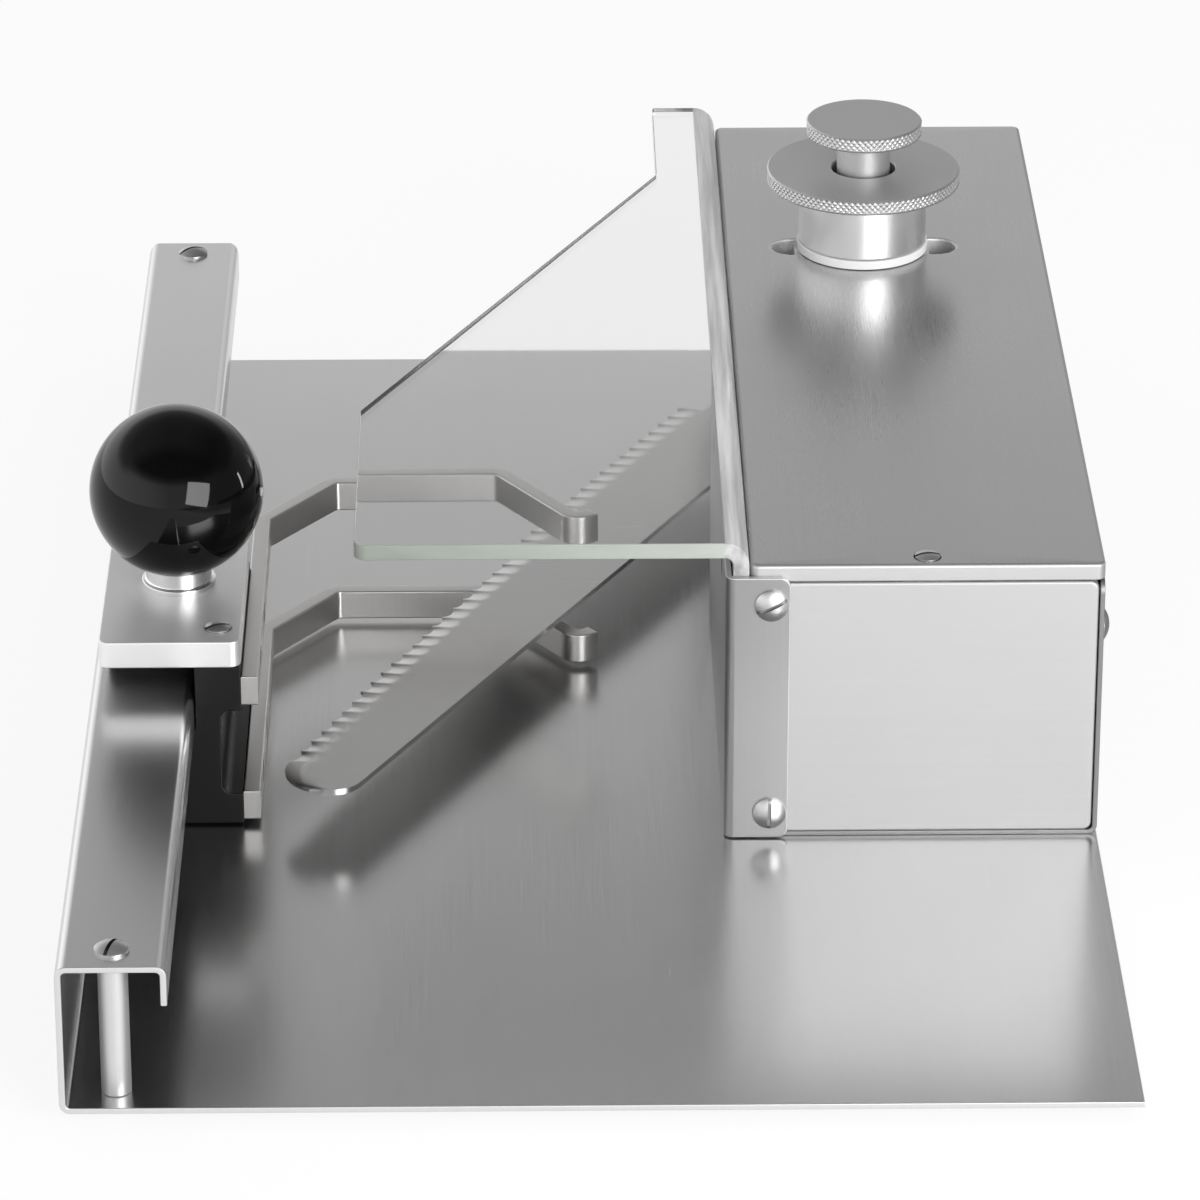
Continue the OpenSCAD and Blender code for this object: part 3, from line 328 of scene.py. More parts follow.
acrylic_edge = paint("acrylic_edge", edge_look, **{"IOR": 1.49, "Transmission Weight": 0.3})
# The bend's pale, streaked colour is a painted highlight with streaks of painted reflection.
acrylic_bend_highlight = paint("acrylic_bend_highlight", bend_highlight_look, **{"IOR": 1.38, "Transmission Weight": 0.45})

# %% [markdown]
# ## Turning arrays into pieces
# A grid of points is a surface: rows follow one parameter, columns the other. The helper below makes
# the mesh, lets every edge under 35 degrees look smooth, and hands the piece to the frame: it rides
# with the body of the solid that it stands for. Where a surface closes at a
# pole, a whole row of the grid is one place, and its points are merged.

# %% Pieces from grids
SMOOTH_UNDER, SAME_PLACE = radians(35), 1e-7


def grid_faces(rows, columns, closed=False):
    """The quads of a grid whose last column joins the first, and if closed, the last row too."""
    i, j = np.meshgrid(np.arange(rows if closed else rows - 1), np.arange(columns), indexing="ij")
    below, right = (i + 1) % rows, (j + 1) % columns
    corners = [(i, j), (below, j), (below, right), (i, right)]
    return np.stack([a * columns + b for a, b in corners], -1).reshape(-1, 4)


def piece(name, points, faces, materials, node, kinds=0):
    """A mesh object from points and lists of faces, standing for a solid.
    kinds gives each face's place in the list of materials."""
    mesh = bpy.data.meshes.new(name)
    mesh.from_pydata(np.asarray(points).tolist(), [], [f.tolist() for group in faces for f in group])
    mesh.polygons.foreach_set("use_smooth", np.ones(len(mesh.polygons), bool))
    for material in materials:
        mesh.materials.append(material)
    kinds = np.broadcast_to(kinds, len(mesh.polygons)).astype(np.int32)
    mesh.polygons.foreach_set("material_index", kinds)
    shape = bmesh.new()
    shape.from_mesh(mesh)
    bmesh.ops.remove_doubles(shape, verts=shape.verts, dist=SAME_PLACE)
    shape.to_mesh(mesh)
    shape.free()
    mesh.set_sharp_from_angle(angle=SMOOTH_UNDER)
    made = bpy.data.objects.new(name, mesh)
    bpy.context.scene.collection.objects.link(made)
    weighted = made.modifiers.new("even_shading", "WEIGHTED_NORMAL")
    weighted.keep_sharp = True
    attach(made, body_of[node])
    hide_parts(node)
    low, high = np.min(points, 0) / MM, np.max(points, 0) / MM
    print(f"{name}: {len(mesh.polygons)} faces, {low.round(1)} to {high.round(1)}")


def upright(points, faces, y, side=1):
    """A plate drawn over x and z: its top looks to the front, or with side -1 to the back."""
    placed = np.stack([points[:, 0], y - side * points[:, 2], points[:, 1]], 1)
    return placed, faces if side > 0 else [group[:, ::-1] for group in faces]


def joined(parts):
    """Several (points, faces) surfaces as one, their faces numbered on."""
    offsets = np.cumsum([0] + [len(points) for points, _ in parts[:-1]])
    faces = [group + offset for (_, groups), offset in zip(parts, offsets) for group in groups]
    return np.concatenate([points for points, _ in parts]), faces


# %% [markdown]
# ## Outlines
# A sheet part starts as a flat outline whose corners are rounded. The arc at a corner touches both
# sides, so its middle lies on the line that halves the corner. Moving an outline sideways by a depth
# slides each corner along its mitre; a rounded edge is nothing but the outline drawn again at several
# depths and heights. Outlines keep the material on their left, so a hole runs clockwise.

# %% Outlines
def rounded(points, radii, steps=6, closed=True):
    """Straight runs through points, with an arc of the given radius at each corner."""
    points = np.asarray(points, float)
    radii = np.broadcast_to(radii, len(points))
    out = []
    for i, (point, radius) in enumerate(zip(points, radii)):
        if radius == 0 or (not closed and i in (0, len(points) - 1)):
            out.append(point[None])
            continue
        before, after = points[i - 1] - point, points[(i + 1) % len(points)] - point
        before, after = before / np.linalg.norm(before), after / np.linalg.norm(after)
        half = np.arccos(np.clip(before @ after, -1, 1)) / 2
        middle = point + (before + after) / np.linalg.norm(before + after) * radius / sin(half)
        start = point + before * radius / tan(half) - middle
        end = point + after * radius / tan(half) - middle
        turn = np.arctan2(start[0] * end[1] - start[1] * end[0], start @ end)
        angles = np.linspace(0, turn, steps + 1)[:, None]
        out.append(middle + start * np.cos(angles) + np.array([-start[1], start[0]]) * np.sin(angles))
    return np.concatenate(out)


def left_of(runs):
    """Unit normals on the left of some runs."""
    return np.stack([-runs[:, 1], runs[:, 0]], 1) / np.linalg.norm(runs, axis=1)[:, None]


def mitre(before, after):
    """How far corners move when the sides with these normals before and after them move by one."""
    return (before + after) / (1 + (before * after).sum(1))[:, None]


def quarter(radius, steps):
    """Rows of (depth, height) from a level face round into an upright one."""
    a = np.linspace(0, pi / 2, steps + 1)
    return np.stack([radius * (1 - np.sin(a)), -radius * (1 - np.cos(a))], 1)


def round_edge(thickness, radius):
    """Rows down a rounded edge: a quarter circle at each face of the sheet."""
    upper = quarter(radius, 3)
    return np.concatenate([upper, (upper * [1, -1] - [0, thickness])[::-1]])


def pan_edge(depth, wall, radius):
    """Rows over a folded rim and back inside it, for a pan whose face is at height 0."""
    lip = wall / 3
    end = np.array([[0, -depth + lip], [lip, -depth], [wall - lip, -depth], [wall, -depth + lip]])
    inner = quarter(radius - wall / 2, 5) + [wall, -wall]
    return np.concatenate([quarter(radius, 5), end, inner[::-1]])


def round_hole(u, v, radius, steps=40):
    """A circle, seen with the material on its left, so it runs clockwise."""
    angle = -np.arange(steps) / steps * 2 * pi
    return np.stack([u + radius * np.cos(angle), v + radius * np.sin(angle)], 1)


def rectangle(low, high):
    """The four corners between two, seen with the material on the left."""
    return np.array([low[:2], [high[0], low[1]], high[:2], [low[0], high[1]]])


print("three rounded corners have", len(rounded([[0, 0], [MM, 0], [MM, MM]], 0.1 * MM)), "points")

# %% [markdown]
# ## Plates
# A plate is its outlines, each with an edge of its own, and two flat faces between them. A flat face
# with holes is best left to a triangulation that keeps the outlines as edges; triangles that lie
# outside the material are dropped. Where a plate will be folded it needs an edge along every fold, so
# the outlines get a point where they cross one.

# %% Plates
ON_LINE, AT_CORNER = 1e-9, 1e-6


def inside(places, rings):
    """Which places lie inside an odd number of rings."""
    count = np.zeros(len(places), int)
    for ring in rings:
        x0, y0 = ring.T[:, None]
        x1, y1 = np.roll(ring, -1, 0).T[:, None]
        x, y = places.T[:, :, None]
        crosses = (y0 > y) != (y1 > y)
        across = x0 + (y - y0) * (x1 - x0) / np.where(y1 == y0, 1, y1 - y0)
        count += (crosses & (x < across)).sum(1)
    return count % 2 == 1


def slab(rings, rows, lines=()):
    """A plate from rings of (u, v) and, for each ring, rows of (depth, height) down its edge.
    Its top and bottom, the last two lists of faces, are triangles between the rings, with an edge at
    each u in lines, where the plate may bend."""
    parts, firsts, lasts, start = [], [], [], 0
    for ring, edge in zip(rings, rows):
        edge, left = np.asarray(edge), left_of(np.roll(ring, -1, 0) - ring)
        flat = ring + mitre(np.roll(left, 1, 0), left) * edge[:, 0, None, None]
        high = np.broadcast_to(edge[:, 1, None, None], flat.shape[:2] + (1,))
        parts.append((np.concatenate([flat, high], 2).reshape(-1, 3),
                      [grid_faces(len(edge), len(ring))]))
        firsts.append(start + np.arange(len(ring)))
        start += flat.shape[0] * len(ring)
        lasts.append(start - len(ring) + np.arange(len(ring)))
    points, faces = joined(parts)
    first, last = np.concatenate(firsts), np.concatenate(lasts)
    flat = points[first, :2]
    counts = np.cumsum([0] + [len(ring) for ring in rings])
    spans = list(zip(counts, counts[1:]))
    edges = [(a + i, a + (i + 1) % (b - a)) for a, b in spans for i in range(b - a)]
    drawn = np.concatenate(rings)
    for u in lines:
        at = np.flatnonzero(np.abs(drawn[:, 0] - u) < ON_LINE)
        at = at[np.argsort(drawn[at, 1])]
        edges += [tuple(pair) for pair in at[:len(at) // 2 * 2].reshape(-1, 2).tolist()]
    found = delaunay_2d_cdt([Vector(p) for p in flat.tolist()], edges, [], 0, ON_LINE)
    # found[3] tells which given points each corner came from; a corner from none is left out
    corners = np.array([(found[3][v] or [-1])[0] for v in range(len(found[0]))])
    triangles = corners[np.array(found[2])]
    triangles = triangles[(triangles >= 0).all(1)]
    triangles = triangles[inside(flat[triangles].mean(1), [flat[a:b] for a, b in spans])]
    return points, faces + [first[triangles], last[triangles[:, ::-1]]]


def cut_at(ring, lines):
    """The ring with points added where its sides cross the lines of constant u."""
    ahead = np.roll(ring, -1, 0)
    lines = np.asarray(lines)
    run = ahead[:, :1] - ring[:, :1]
    share = (lines[None] - ring[:, :1]) / np.where(run == 0, np.inf, run)
    side, line = np.nonzero((share > AT_CORNER) & (share < 1 - AT_CORNER))
    share = share[side, line]
    extra = ring[side] + (ahead[side] - ring[side]) * share[:, None]
    order = np.argsort(np.concatenate([np.arange(len(ring)), side + share]))
    return np.concatenate([ring, extra])[order]


points, faces = slab([rectangle([0, 0], [MM, MM])], [round_edge(MM, 0.1 * MM)])
print("a small cube has", len(points), "points and", sum(map(len, faces)), "faces")

# %% [markdown]
# ## Folding
# A press brake bends a flat blank over straight lines. So does the next helper: it knows the outer
# face of the folded part as a line with an arc at every bend. A point of the blank keeps its
# distance along that line, its height goes inwards from it, and the third axis is left alone.

# %% Folding
FOLD_XZ, FOLD_XY = [0, 2, 1], [0, 1, 2]


class Fold:
    """The outer face of a folded sheet, seen from its end, and the way from the flat blank to it."""

    def __init__(self, corners, radius, inward, steps=6):
        self.line = rounded(corners, radius, steps, closed=False)
        ahead = np.diff(self.line, axis=0)
        self.u = np.concatenate([[0], np.cumsum(np.linalg.norm(ahead, axis=1))])
        self.length = self.u[-1]
        left = left_of(ahead) * inward
        normal = np.concatenate([left[:1], left[1:] + left[:-1], left[-1:]])
        self.normal = normal / np.linalg.norm(normal, axis=1)[:, None]

    def __call__(self, u, w):
        """Where a point at distance u and depth w below the outer face comes to lie."""
        line, normal = (np.stack([np.interp(u, self.u, table[:, k]) for k in (0, 1)], -1)
                        for table in (self.line, self.normal))
        return line + normal / np.linalg.norm(normal, axis=-1)[..., None] * w[..., None]


def edges_second(middles, on_edge):
    """The second material for the edges, the first for the faces."""
    return on_edge


def folded(name, fold, rings, edges, order, materials, node, kind_at=edges_second):
    """A folded sheet. order tells which of the fold's two axes and the third one are x, y and z;
    kind_at(middles, on_edge) tells each face's place in the list of materials."""
    rings = [cut_at(ring, fold.u[1:-1]) for ring in rings]
    points, faces = slab(rings, edges, fold.u[1:-1])
    placed = np.column_stack([fold(points[:, 0], -points[:, 2]), points[:, 1]])[:, order]
    # The blank's outer face looks along u cross v; if the fold mirrors that, the faces are turned
    sample = faces[len(rings)][0]
    first, second, third = placed[sample]
    u = np.array([points[sample, 0].mean()])
    inward = np.append(fold(u, np.array([MM])) - fold(u, np.zeros(1)), 0)[order]
    if np.cross(second - first, third - first) @ inward > 0:
        faces = [group[:, ::-1] for group in faces]
    kinds = np.concatenate([kind_at(placed[group].mean(1), np.full(len(group), k < len(rings)))
                            for k, group in enumerate(faces)])
    piece(name, placed, faces, materials, node, kinds)


print("folding is ready")

# %% [markdown]
# ## Broken edges
# The solids tell where every piece is. What a box cannot tell is how far an edge is broken: by 0.2 to
# 0.4 mm, as a deburring brush leaves it. That narrow band draws the bright lines in the photograph,
# so each sheet and plate gets one of three sizes, and no edge stays sharp.

# %% Broken edges
finely_broken, broken, well_broken = 0.2 * MM, 0.25 * MM, 0.4 * MM
print("edges are broken by", [round(size / MM, 2) for size in (finely_broken, broken, well_broken)])

# %% [markdown]
# ## The base plate and its rail
# One sheet, 1.5 mm thick, is folded up along its left side, over, and down again into a lip, so it is
# the bed and the rail in one. The folds have a 2.6 mm outer radius. At the far end the rail's corners
# are rounded in plan, so the flat blank steps back by an arc where the folds come.

# %% Base plate
base_low, base_high = low_high("base_plate")
base_sheet, base_fold = 1.5 * MM, 2.6 * MM
rail_wide, lip_tall, rail_corner = 25.6 * MM, 10 * MM, 3 * MM
lip_x = base_low[0] + rail_wide
base_line = Fold([[base_high[0], base_low[2]], base_low[[0, 2]], [base_low[0], base_high[2]],
                  [lip_x, base_high[2]], [lip_x, base_high[2] - lip_tall]], base_fold, -1)
wall_end = np.argmax(base_line.line[:, 1] > base_high[2] - base_fold - 1e-6)
notch = base_line.u[wall_end] - (base_line.line[wall_end, 1] - base_high[2] + lip_tall + MM)
across = np.concatenate([[notch], base_line.u[base_line.u > notch]])
x_across = np.interp(across, base_line.u, base_line.line[:, 0])
from_middle = np.abs(x_across - (base_low[0] + lip_x) / 2)
beyond = np.clip(from_middle - rail_wide / 2 + rail_corner, 0, rail_corner)
rail_back = base_high[1] - rail_corner + np.sqrt(rail_corner ** 2 - beyond ** 2)
base_ring = np.concatenate([
    [[0, base_low[1]], [base_line.length, base_low[1]]],
    np.stack([across, rail_back], 1)[::-1],
    [[notch, base_high[1]], [0, base_high[1]]],
])
# The base sheet's cut edges get the paler steel, painted light.
folded("base_sheet", base_line, [base_ring], [round_edge(base_sheet, broken)],
       FOLD_XZ, [bed_steel, lit_cut_steel], "base_plate")

# %% [markdown]
# ## The housing's tray
# A tray of thinner sheet makes the bottom and both sides of the housing. Its blank is a rectangle with
# round corners and one long opening, which comes to lie in the left wall and lets the knife out.

# %% Housing tray
tray_low, tray_high = low_high("housing_tray")
housing_sheet, housing_fold, wall_corner = 1.2 * MM, 2.4 * MM, 3.5 * MM
tray_line = Fold([[tray_low[0], tray_high[2]], tray_low[[0, 2]], [tray_high[0], tray_low[2]],
                  tray_high[[0, 2]]], housing_fold, 1)
tray_ring = rounded(rectangle([0, tray_low[1]], [tray_line.length, tray_high[1]]), wall_corner)
port_low, port_high = np.array([58.97, 14.4]) * MM, np.array([181.9, 36.9]) * MM
port_ring = rounded(rectangle([tray_high[2] - port_high[1], port_low[0]],
                              [tray_high[2] - port_low[1], port_high[0]])[::-1], MM)
hole_edge = round_edge(housing_sheet, finely_broken)
# The port's edges get the dark steel, painted shade.
folded("housing_sheet", tray_line, [tray_ring, port_ring], [hole_edge] * 2,
       FOLD_XZ, [wall_steel, shaded_steel], "housing_tray")

# %% [markdown]
# ## The end panels and the lid
# Two panels close the tray at its ends. They and the lid are pans: a face whose rim is folded back all
# round, so their corners are soft and their edges bright; the lid's rim is painted paler than its top
# too, as painted light. The slot across the lid has such a rim too, pressed down, and it is painted
# much paler than the lid, a painted highlight.

# %% Panels and lid
lid_low, lid_high = low_high("lid")
panel_rim, panel_corner, sunk_hole = 12 * MM, 2.1 * MM, 3.4 * MM
panel_fold, lid_fold, slot_fold = 0.65 * MM, 0.9 * MM, 0.7 * MM
for side, node in ((1, "front_panel"), (-1, "rear_panel")):
    low, high = low_high(node)
    ring = rounded(rectangle(low[[0, 2]], high[[0, 2]]), panel_corner)
    plate = slab([ring], [pan_edge(panel_rim, housing_sheet, panel_fold)])
    face_y = low[1] if side > 0 else high[1]
    piece(node + "_sheet", *upright(*plate, face_y, side), [front_steel], node)

slot_middle = np.array([76.0, 122.5]) * MM
slot_radius, slot_run, slot_rim = 5.5 * MM, 19.65 * MM, 5 * MM
slot_half = np.array([slot_run + slot_radius, slot_radius])
nearly_all = 0.999    # with all of the radius, the slot's short sides would have no length
slot_ring = rounded(rectangle(slot_middle - slot_half, slot_middle + slot_half)[::-1],
                    slot_radius * nearly_all, 10)
lid_ring = rounded(rectangle(lid_low, lid_high), panel_corner)
lid_rim = lid_high[2] - lid_low[2]
lid_screw_x, lid_screw_inset = (lid_low[0] + lid_high[0]) / 2, 5 * MM
lid_screw_ys = [lid_low[1] + lid_screw_inset, lid_high[1] - lid_screw_inset]
points, faces = slab(
    [lid_ring, slot_ring] + [round_hole(lid_screw_x, y, sunk_hole) for y in lid_screw_ys],
    [pan_edge(lid_rim, housing_sheet, lid_fold), pan_edge(slot_rim, housing_sheet, slot_fold)]
    + [hole_edge] * 2)
# The faces come as the rim, the slot, two screw holes, the top and the underside
kinds = np.repeat([1, 2, 0, 0, 0, 0], [len(group) for group in faces])
# The rim and the slot get their paler steels, painted light.
piece("lid_sheet", points + [0, 0, lid_high[2]], faces, [lid_steel, lit_rim_steel, lit_slot_steel],
      "lid", kinds)

# %% [markdown]
# ## The corner bracket
# An angle of 1.5 mm sheet stands round the housing's left front corner, with two screws in its front
# leg. It is folded like the tray, only about an upright line, so the fold's own axes are x and y.

# %% Corner bracket
bracket_low, bracket_high = low_high("corner_bracket")
bracket_sheet, bracket_fold, flange = 1.5 * MM, 2.4 * MM, 15.9 * MM
bracket_line = Fold([[bracket_low[0] + flange, bracket_low[1]], bracket_low[:2],
                     [bracket_low[0], bracket_high[1]]], bracket_fold, -1)
bracket_ring = rounded(rectangle([0, bracket_low[2]], [bracket_line.length, bracket_high[2]]),
                       [bracket_fold, MM, MM, bracket_fold])
# The bracket's cut edges get the paler steel, painted light.
folded("bracket_sheet", bracket_line, [bracket_ring], [round_edge(bracket_sheet, broken)],
       FOLD_XY, [bracket_steel, lit_cut_steel], "corner_bracket")

# %% [markdown]
# ## The guard
# The guard is 4 mm acrylic, bent over a hot wire, so its fold is wide. It is cut back at an angle
# behind its wide part. Only its sawn front edge looks green; the other cuts show clear, and the bend
# and the leg are painted pale, a painted highlight, so each face gets its material by where it lies.

# %% Guard
guard_sheet, guard_fold = 4 * MM, 6 * MM
guard_line = Fold([[guard_low[0], guard_high[2]], guard_high[[0, 2]],
                   [guard_high[0], guard_low[2]]], guard_fold, -1, 10)
guard_narrow, narrow_long, wide_long, front_corner = 17.7 * MM, 52 * MM, 83 * MM, 3 * MM
step_u = guard_high[0] - guard_low[0] - guard_narrow
guard_ring = rounded([
    [0, guard_low[1]], [guard_line.length, guard_low[1]], [guard_line.length, guard_high[1]],
    [step_u, guard_high[1]], [step_u, guard_high[1] - narrow_long], [0, guard_low[1] + wide_long],
], [front_corner, MM, MM, MM, 2 * MM, 3 * MM])


def guard_kind(middles, on_edge):
    """Green at the flat part's front edge, painted highlight on the bend and the leg, clear elsewhere.
    """
    bent = middles[:, 0] > guard_high[0] - guard_fold
    front = middles[:, 1] < guard_low[1] + front_corner
    return np.select([bent, on_edge & front], [2, 1], 0)


folded("guard_sheet", guard_line, [guard_ring], [round_edge(guard_sheet, 0.3 * MM)],
       FOLD_XZ, [acrylic, acrylic_edge, acrylic_bend_highlight], "guard", guard_kind)

# %% [markdown]
# ## The slide
# The block is sawn from one bar, so it is one outline carried along the rail: a cheek beside it with
# the recess for the knife's tip, and a tongue under the lip. A pad, set well back from the ends, rests
# on the rail and holds up the plate, whose corners are rounded.

# %% Slide
(block_low, block_high), (plate_low, plate_high) = low_high("slide_block"), low_high("slide_plate")
play = 0.3 * MM
cheek, pad_tall, pad_inset = 11.5 * MM, 6.5 * MM, 18 * MM
recess_low, recess_high, recess_deep = 14.3 * MM, 37.2 * MM, 5.2 * MM
right, cheek_x, core_x = block_high[0], block_high[0] - cheek, lip_x - base_sheet - MM
tongue_z = base_high[2] - lip_tall - play
core_z = base_high[2] - base_sheet - play
block_ring = rounded([
    [right, block_low[2]], [right, recess_low], [right - recess_deep, recess_low],
    [right - recess_deep, recess_high], [right, recess_high], [right, block_high[2]],
    [cheek_x, block_high[2]], [cheek_x, tongue_z],
    [core_x, tongue_z], [core_x, core_z], [block_low[0], core_z], block_low[[0, 2]],
], np.array([0.8, 0.5, 2.4, 2.4, 0.5, 0.8, 0.5, 0.5, 0.5, 0.5, 0.5, 0.8]) * MM)
pad_ring = rounded(rectangle([plate_low[0] + MM, block_low[1] + pad_inset],
                             [cheek_x, block_high[1] - pad_inset]), [2 * MM, 0, 0, 2 * MM])
bar = slab([block_ring], [round_edge(block_high[1] - block_low[1], 0.35 * MM)])
points, faces = slab([pad_ring], [round_edge(pad_tall, 0.3 * MM)])
piece("block", *joined([upright(*bar, block_low[1]), (points + [0, 0, block_high[2]], faces)]),
      [block_plastic], "slide_block")

plate_ring = rounded(rectangle(plate_low, plate_high), 2.6 * MM)
plate_thick = plate_high[2] - plate_low[2]
plate_screw_x, plate_screw_ys = -93.35 * MM, [-69 * MM, -22 * MM]
points, faces = slab(
    [plate_ring] + [round_hole(plate_screw_x, y, sunk_hole) for y in plate_screw_ys],
    [round_edge(plate_thick, well_broken)] + [round_edge(plate_thick, broken)] * 2)
piece("top_plate", points + [0, 0, plate_high[2]], faces, [satin_aluminium], "slide_plate")

# %% [markdown]
# ## The cradle
# Two flat bars, bent cold, push what is to be cut. Seen from above a bar is a path with a width: its
# outline is that path moved to both sides, and at each bend the outer side has the larger arc.

# %% Cradle
def ribbon(path, wide, inner, steps=8):
    """A closed outline round a bent bar: the path moved to both sides, its corners rounded."""
    left = left_of(np.diff(path, axis=0))
    before, after = np.concatenate([left[:1], left]), np.concatenate([left, left[-1:]])
    shift = mitre(before, after) * wide / 2
    turn = before[:, 0] * after[:, 1] - before[:, 1] * after[:, 0]
    right_radii, left_radii = (np.where(np.abs(turn) < 1e-6, 0.0, inner + outside * wide)
                               for outside in (turn > 0, turn < 0))
    corners = np.concatenate([path - shift, (path + shift)[::-1]])
    return rounded(corners, np.concatenate([right_radii, left_radii[::-1]]), steps)


bar_thick = 4.2 * MM
bar_moves = np.array([[0, 0], [0, 94.5], [17.7, 24.5], [44.3, 0], [19.6, -29.5], [4.5, 3.6]]) * MM
bar_path = np.array([block_high[0] + bar_thick / 2, block_low[1]]) + np.cumsum(bar_moves, 0)
bar_ring = ribbon(bar_path, bar_thick, 1.6 * MM)
for node in ("upper_band", "lower_band"):
    low, high = low_high(node)
    points, faces = slab([bar_ring], [round_edge(high[2] - low[2], well_broken)])
    piece(node.replace("band", "bar"), points + [0, 0, high[2]], faces, [bar_steel], node)

# %% [markdown]
# ## Turned parts
# A lathe sweeps a profile round an axis. The ball, its neck and the washer are nothing else: the ball
# is an arc with a flat and a bore below, the neck a stack of steps, and the washer a loop of four
# corners. A profile that ends on the axis closes there in one point.

# %% Turned parts
def lathe(profile, centre, columns=96, loop=False):
    """A profile of (radius, height) from the top outwards and down, swept round a vertical axis."""
    profile = np.asarray(profile, float)
    angle = np.arange(columns) / columns * 2 * pi
    ring = np.stack([np.cos(angle), np.sin(angle)], 1)
    flat = profile[:, None, :1] * ring[None] + np.asarray(centre)[:2]
    high = np.broadcast_to(profile[:, None, 1:], flat.shape[:2] + (1,))
    faces = grid_faces(len(profile), columns, closed=loop)
    return np.concatenate([flat, high], 2).reshape(-1, 3), [faces]


def softened(profile, radii, closed):
    """A profile whose corners are rounded a little, by radii in millimetres."""
    return rounded(profile, np.asarray(radii) * MM, 3, closed)


def tube(bore, radius, low, high, softening):
    """The profile of a ring: its bore, its outside and the two heights between which it stands."""
    return softened([[bore, high], [radius, high], [radius, low], [bore, low]], softening, True)


(ball_low, ball_high), (neck_low, neck_high) = low_high("ball_knob"), low_high("knob_neck")
ball_middle = (ball_low + ball_high) / 2
ball_radius = (ball_high[0] - ball_low[0]) / 2
flat_radius, bore_radius = 8.3 * MM, 4.15 * MM
ball_z = ball_low[2] + sqrt(ball_radius ** 2 - flat_radius ** 2)
swing = np.linspace(0, pi - np.arcsin(flat_radius / ball_radius), 64)
ball_profile = np.stack([ball_radius * np.sin(swing), ball_z + ball_radius * np.cos(swing)], 1)
bore_top = neck_high[2] + play
ball_profile = np.concatenate([
    ball_profile, [[bore_radius, ball_low[2]], [bore_radius, bore_top], [0, bore_top]]])
piece("ball", *lathe(ball_profile, ball_middle, 128), [ball_plastic], "ball_knob")

stud, foot_radius = 4 * MM, (neck_high[0] - neck_low[0]) / 2
foot_top, neck_top = plate_high[2] + 1.4 * MM, ball_low[2]
neck_profile = softened([
    [0, neck_high[2]], [stud, neck_high[2]], [stud, neck_top], [flat_radius, neck_top],
    [flat_radius, foot_top], [foot_radius, foot_top], [foot_radius, plate_high[2]],
    [stud, plate_high[2]], [stud, neck_low[2]], [0, neck_low[2]],
], [0, 0.3, 0, 0, 0.3, 0.3, 0.1, 0, 0.3, 0], False)
piece("neck", *lathe(neck_profile, ball_middle), [polished_steel], "knob_neck")

washer_low, washer_high = low_high("slot_washer")
washer_middle, washer_radius = (washer_low + washer_high) / 2, (washer_high[0] - washer_low[0]) / 2
hole_radius = 4.05 * MM
washer_profile = tube(hole_radius, washer_radius, washer_low[2], washer_high[2], 0.25)
piece("washer", *lathe(washer_profile, washer_middle, loop=True), [washer_plastic], "slot_washer")

# %% [markdown]
# ## The knurled knobs
# On the rims of the two knobs a tool has rolled two sets of crossing grooves: where both are far away
# a diamond stands up, so the height is the lower of two triangle waves. A grid fine enough for the
# diamonds is needed only here. The collar of the large knob was turned finer than its faces, so it is
# a little smoother, and it is painted paler, a painted highlight of the light from the front.

# %% Knurled knobs
def knurl(points, centre, radius, span, pitch, depth):
    """Crossed grooves on a rim: the radius falls where either of two slanted triangle waves is low."""
    x, y, z = (points - [*centre[:2], 0]).T
    around, count = np.arctan2(y, x) / (2 * pi), round(2 * pi * radius / pitch)
    waves = [np.abs((around * count + way * (z - span[0]) / pitch) % 1 - 0.5) * 2 for way in (1, -1)]
    on_rim = (np.hypot(x, y) > radius - 1e-6) & (z > span[0]) & (z < span[1])
    shrink = np.where(on_rim, 1 - depth / radius * (1 - np.minimum(*waves)), 1)
    return np.stack([centre[0] + x * shrink, centre[1] + y * shrink, z], 1)


(clamp_low, clamp_high), (knob_low, knob_high) = low_high("clamp_knob"), low_high("height_knob")
knob_middle = (clamp_low + clamp_high) / 2
disc_thick, bevel, knurl_pitch, knurl_deep = 4 * MM, 0.4 * MM, 1.6 * MM, 0.4 * MM
collar, bore, web = 17.35 * MM, 8.7 * MM, 8 * MM
clamp_columns, knob_columns, rim_rows = 864, 516, 22


def rim(radius, top):
    """The profile of a knurled rim between its two bevels, with rows for the diamonds."""
    rows = np.linspace(top - bevel, top - disc_thick + bevel, rim_rows)
    return np.concatenate([[[radius - bevel, top]], np.stack([np.full(rim_rows, radius), rows], 1),
                           [[radius - bevel, top - disc_thick]]])


def knurled(profile, radius, top, columns, loop):
    """A lathe piece whose rim carries diamonds."""
    points, faces = lathe(profile, knob_middle, columns, loop)
    span = (top - disc_thick + bevel + 1e-6, top - bevel - 1e-6)
    return knurl(points, knob_middle, radius, span, knurl_pitch, knurl_deep), faces


clamp_radius = (clamp_high[0] - clamp_low[0]) / 2
clamp_profile = np.concatenate([
    [[bore, clamp_high[2] - 0.3 * MM], [bore + 0.3 * MM, clamp_high[2]]],
    rim(clamp_radius, clamp_high[2]),
    softened([[collar, clamp_high[2] - disc_thick], [collar, clamp_low[2]],
              [hole_radius, clamp_low[2]], [hole_radius, clamp_low[2] + web],
              [bore, clamp_low[2] + web]], [0, 0.3, 0.2, 0, 0], False)])
points, faces = knurled(clamp_profile, clamp_radius, clamp_high[2], clamp_columns, True)
middles = points[faces[0]].mean(1)
# The collar's faces get the paler aluminium, a painted highlight.
lit_collar_faces = (middles[:, 2] < clamp_high[2] - disc_thick - bevel) & (
    np.hypot(*(middles[:, :2] - knob_middle[:2]).T) > bore + MM)
piece("clamp_wheel", points, faces, [turned_aluminium, lit_collar_aluminium], "clamp_knob", lit_collar_faces)

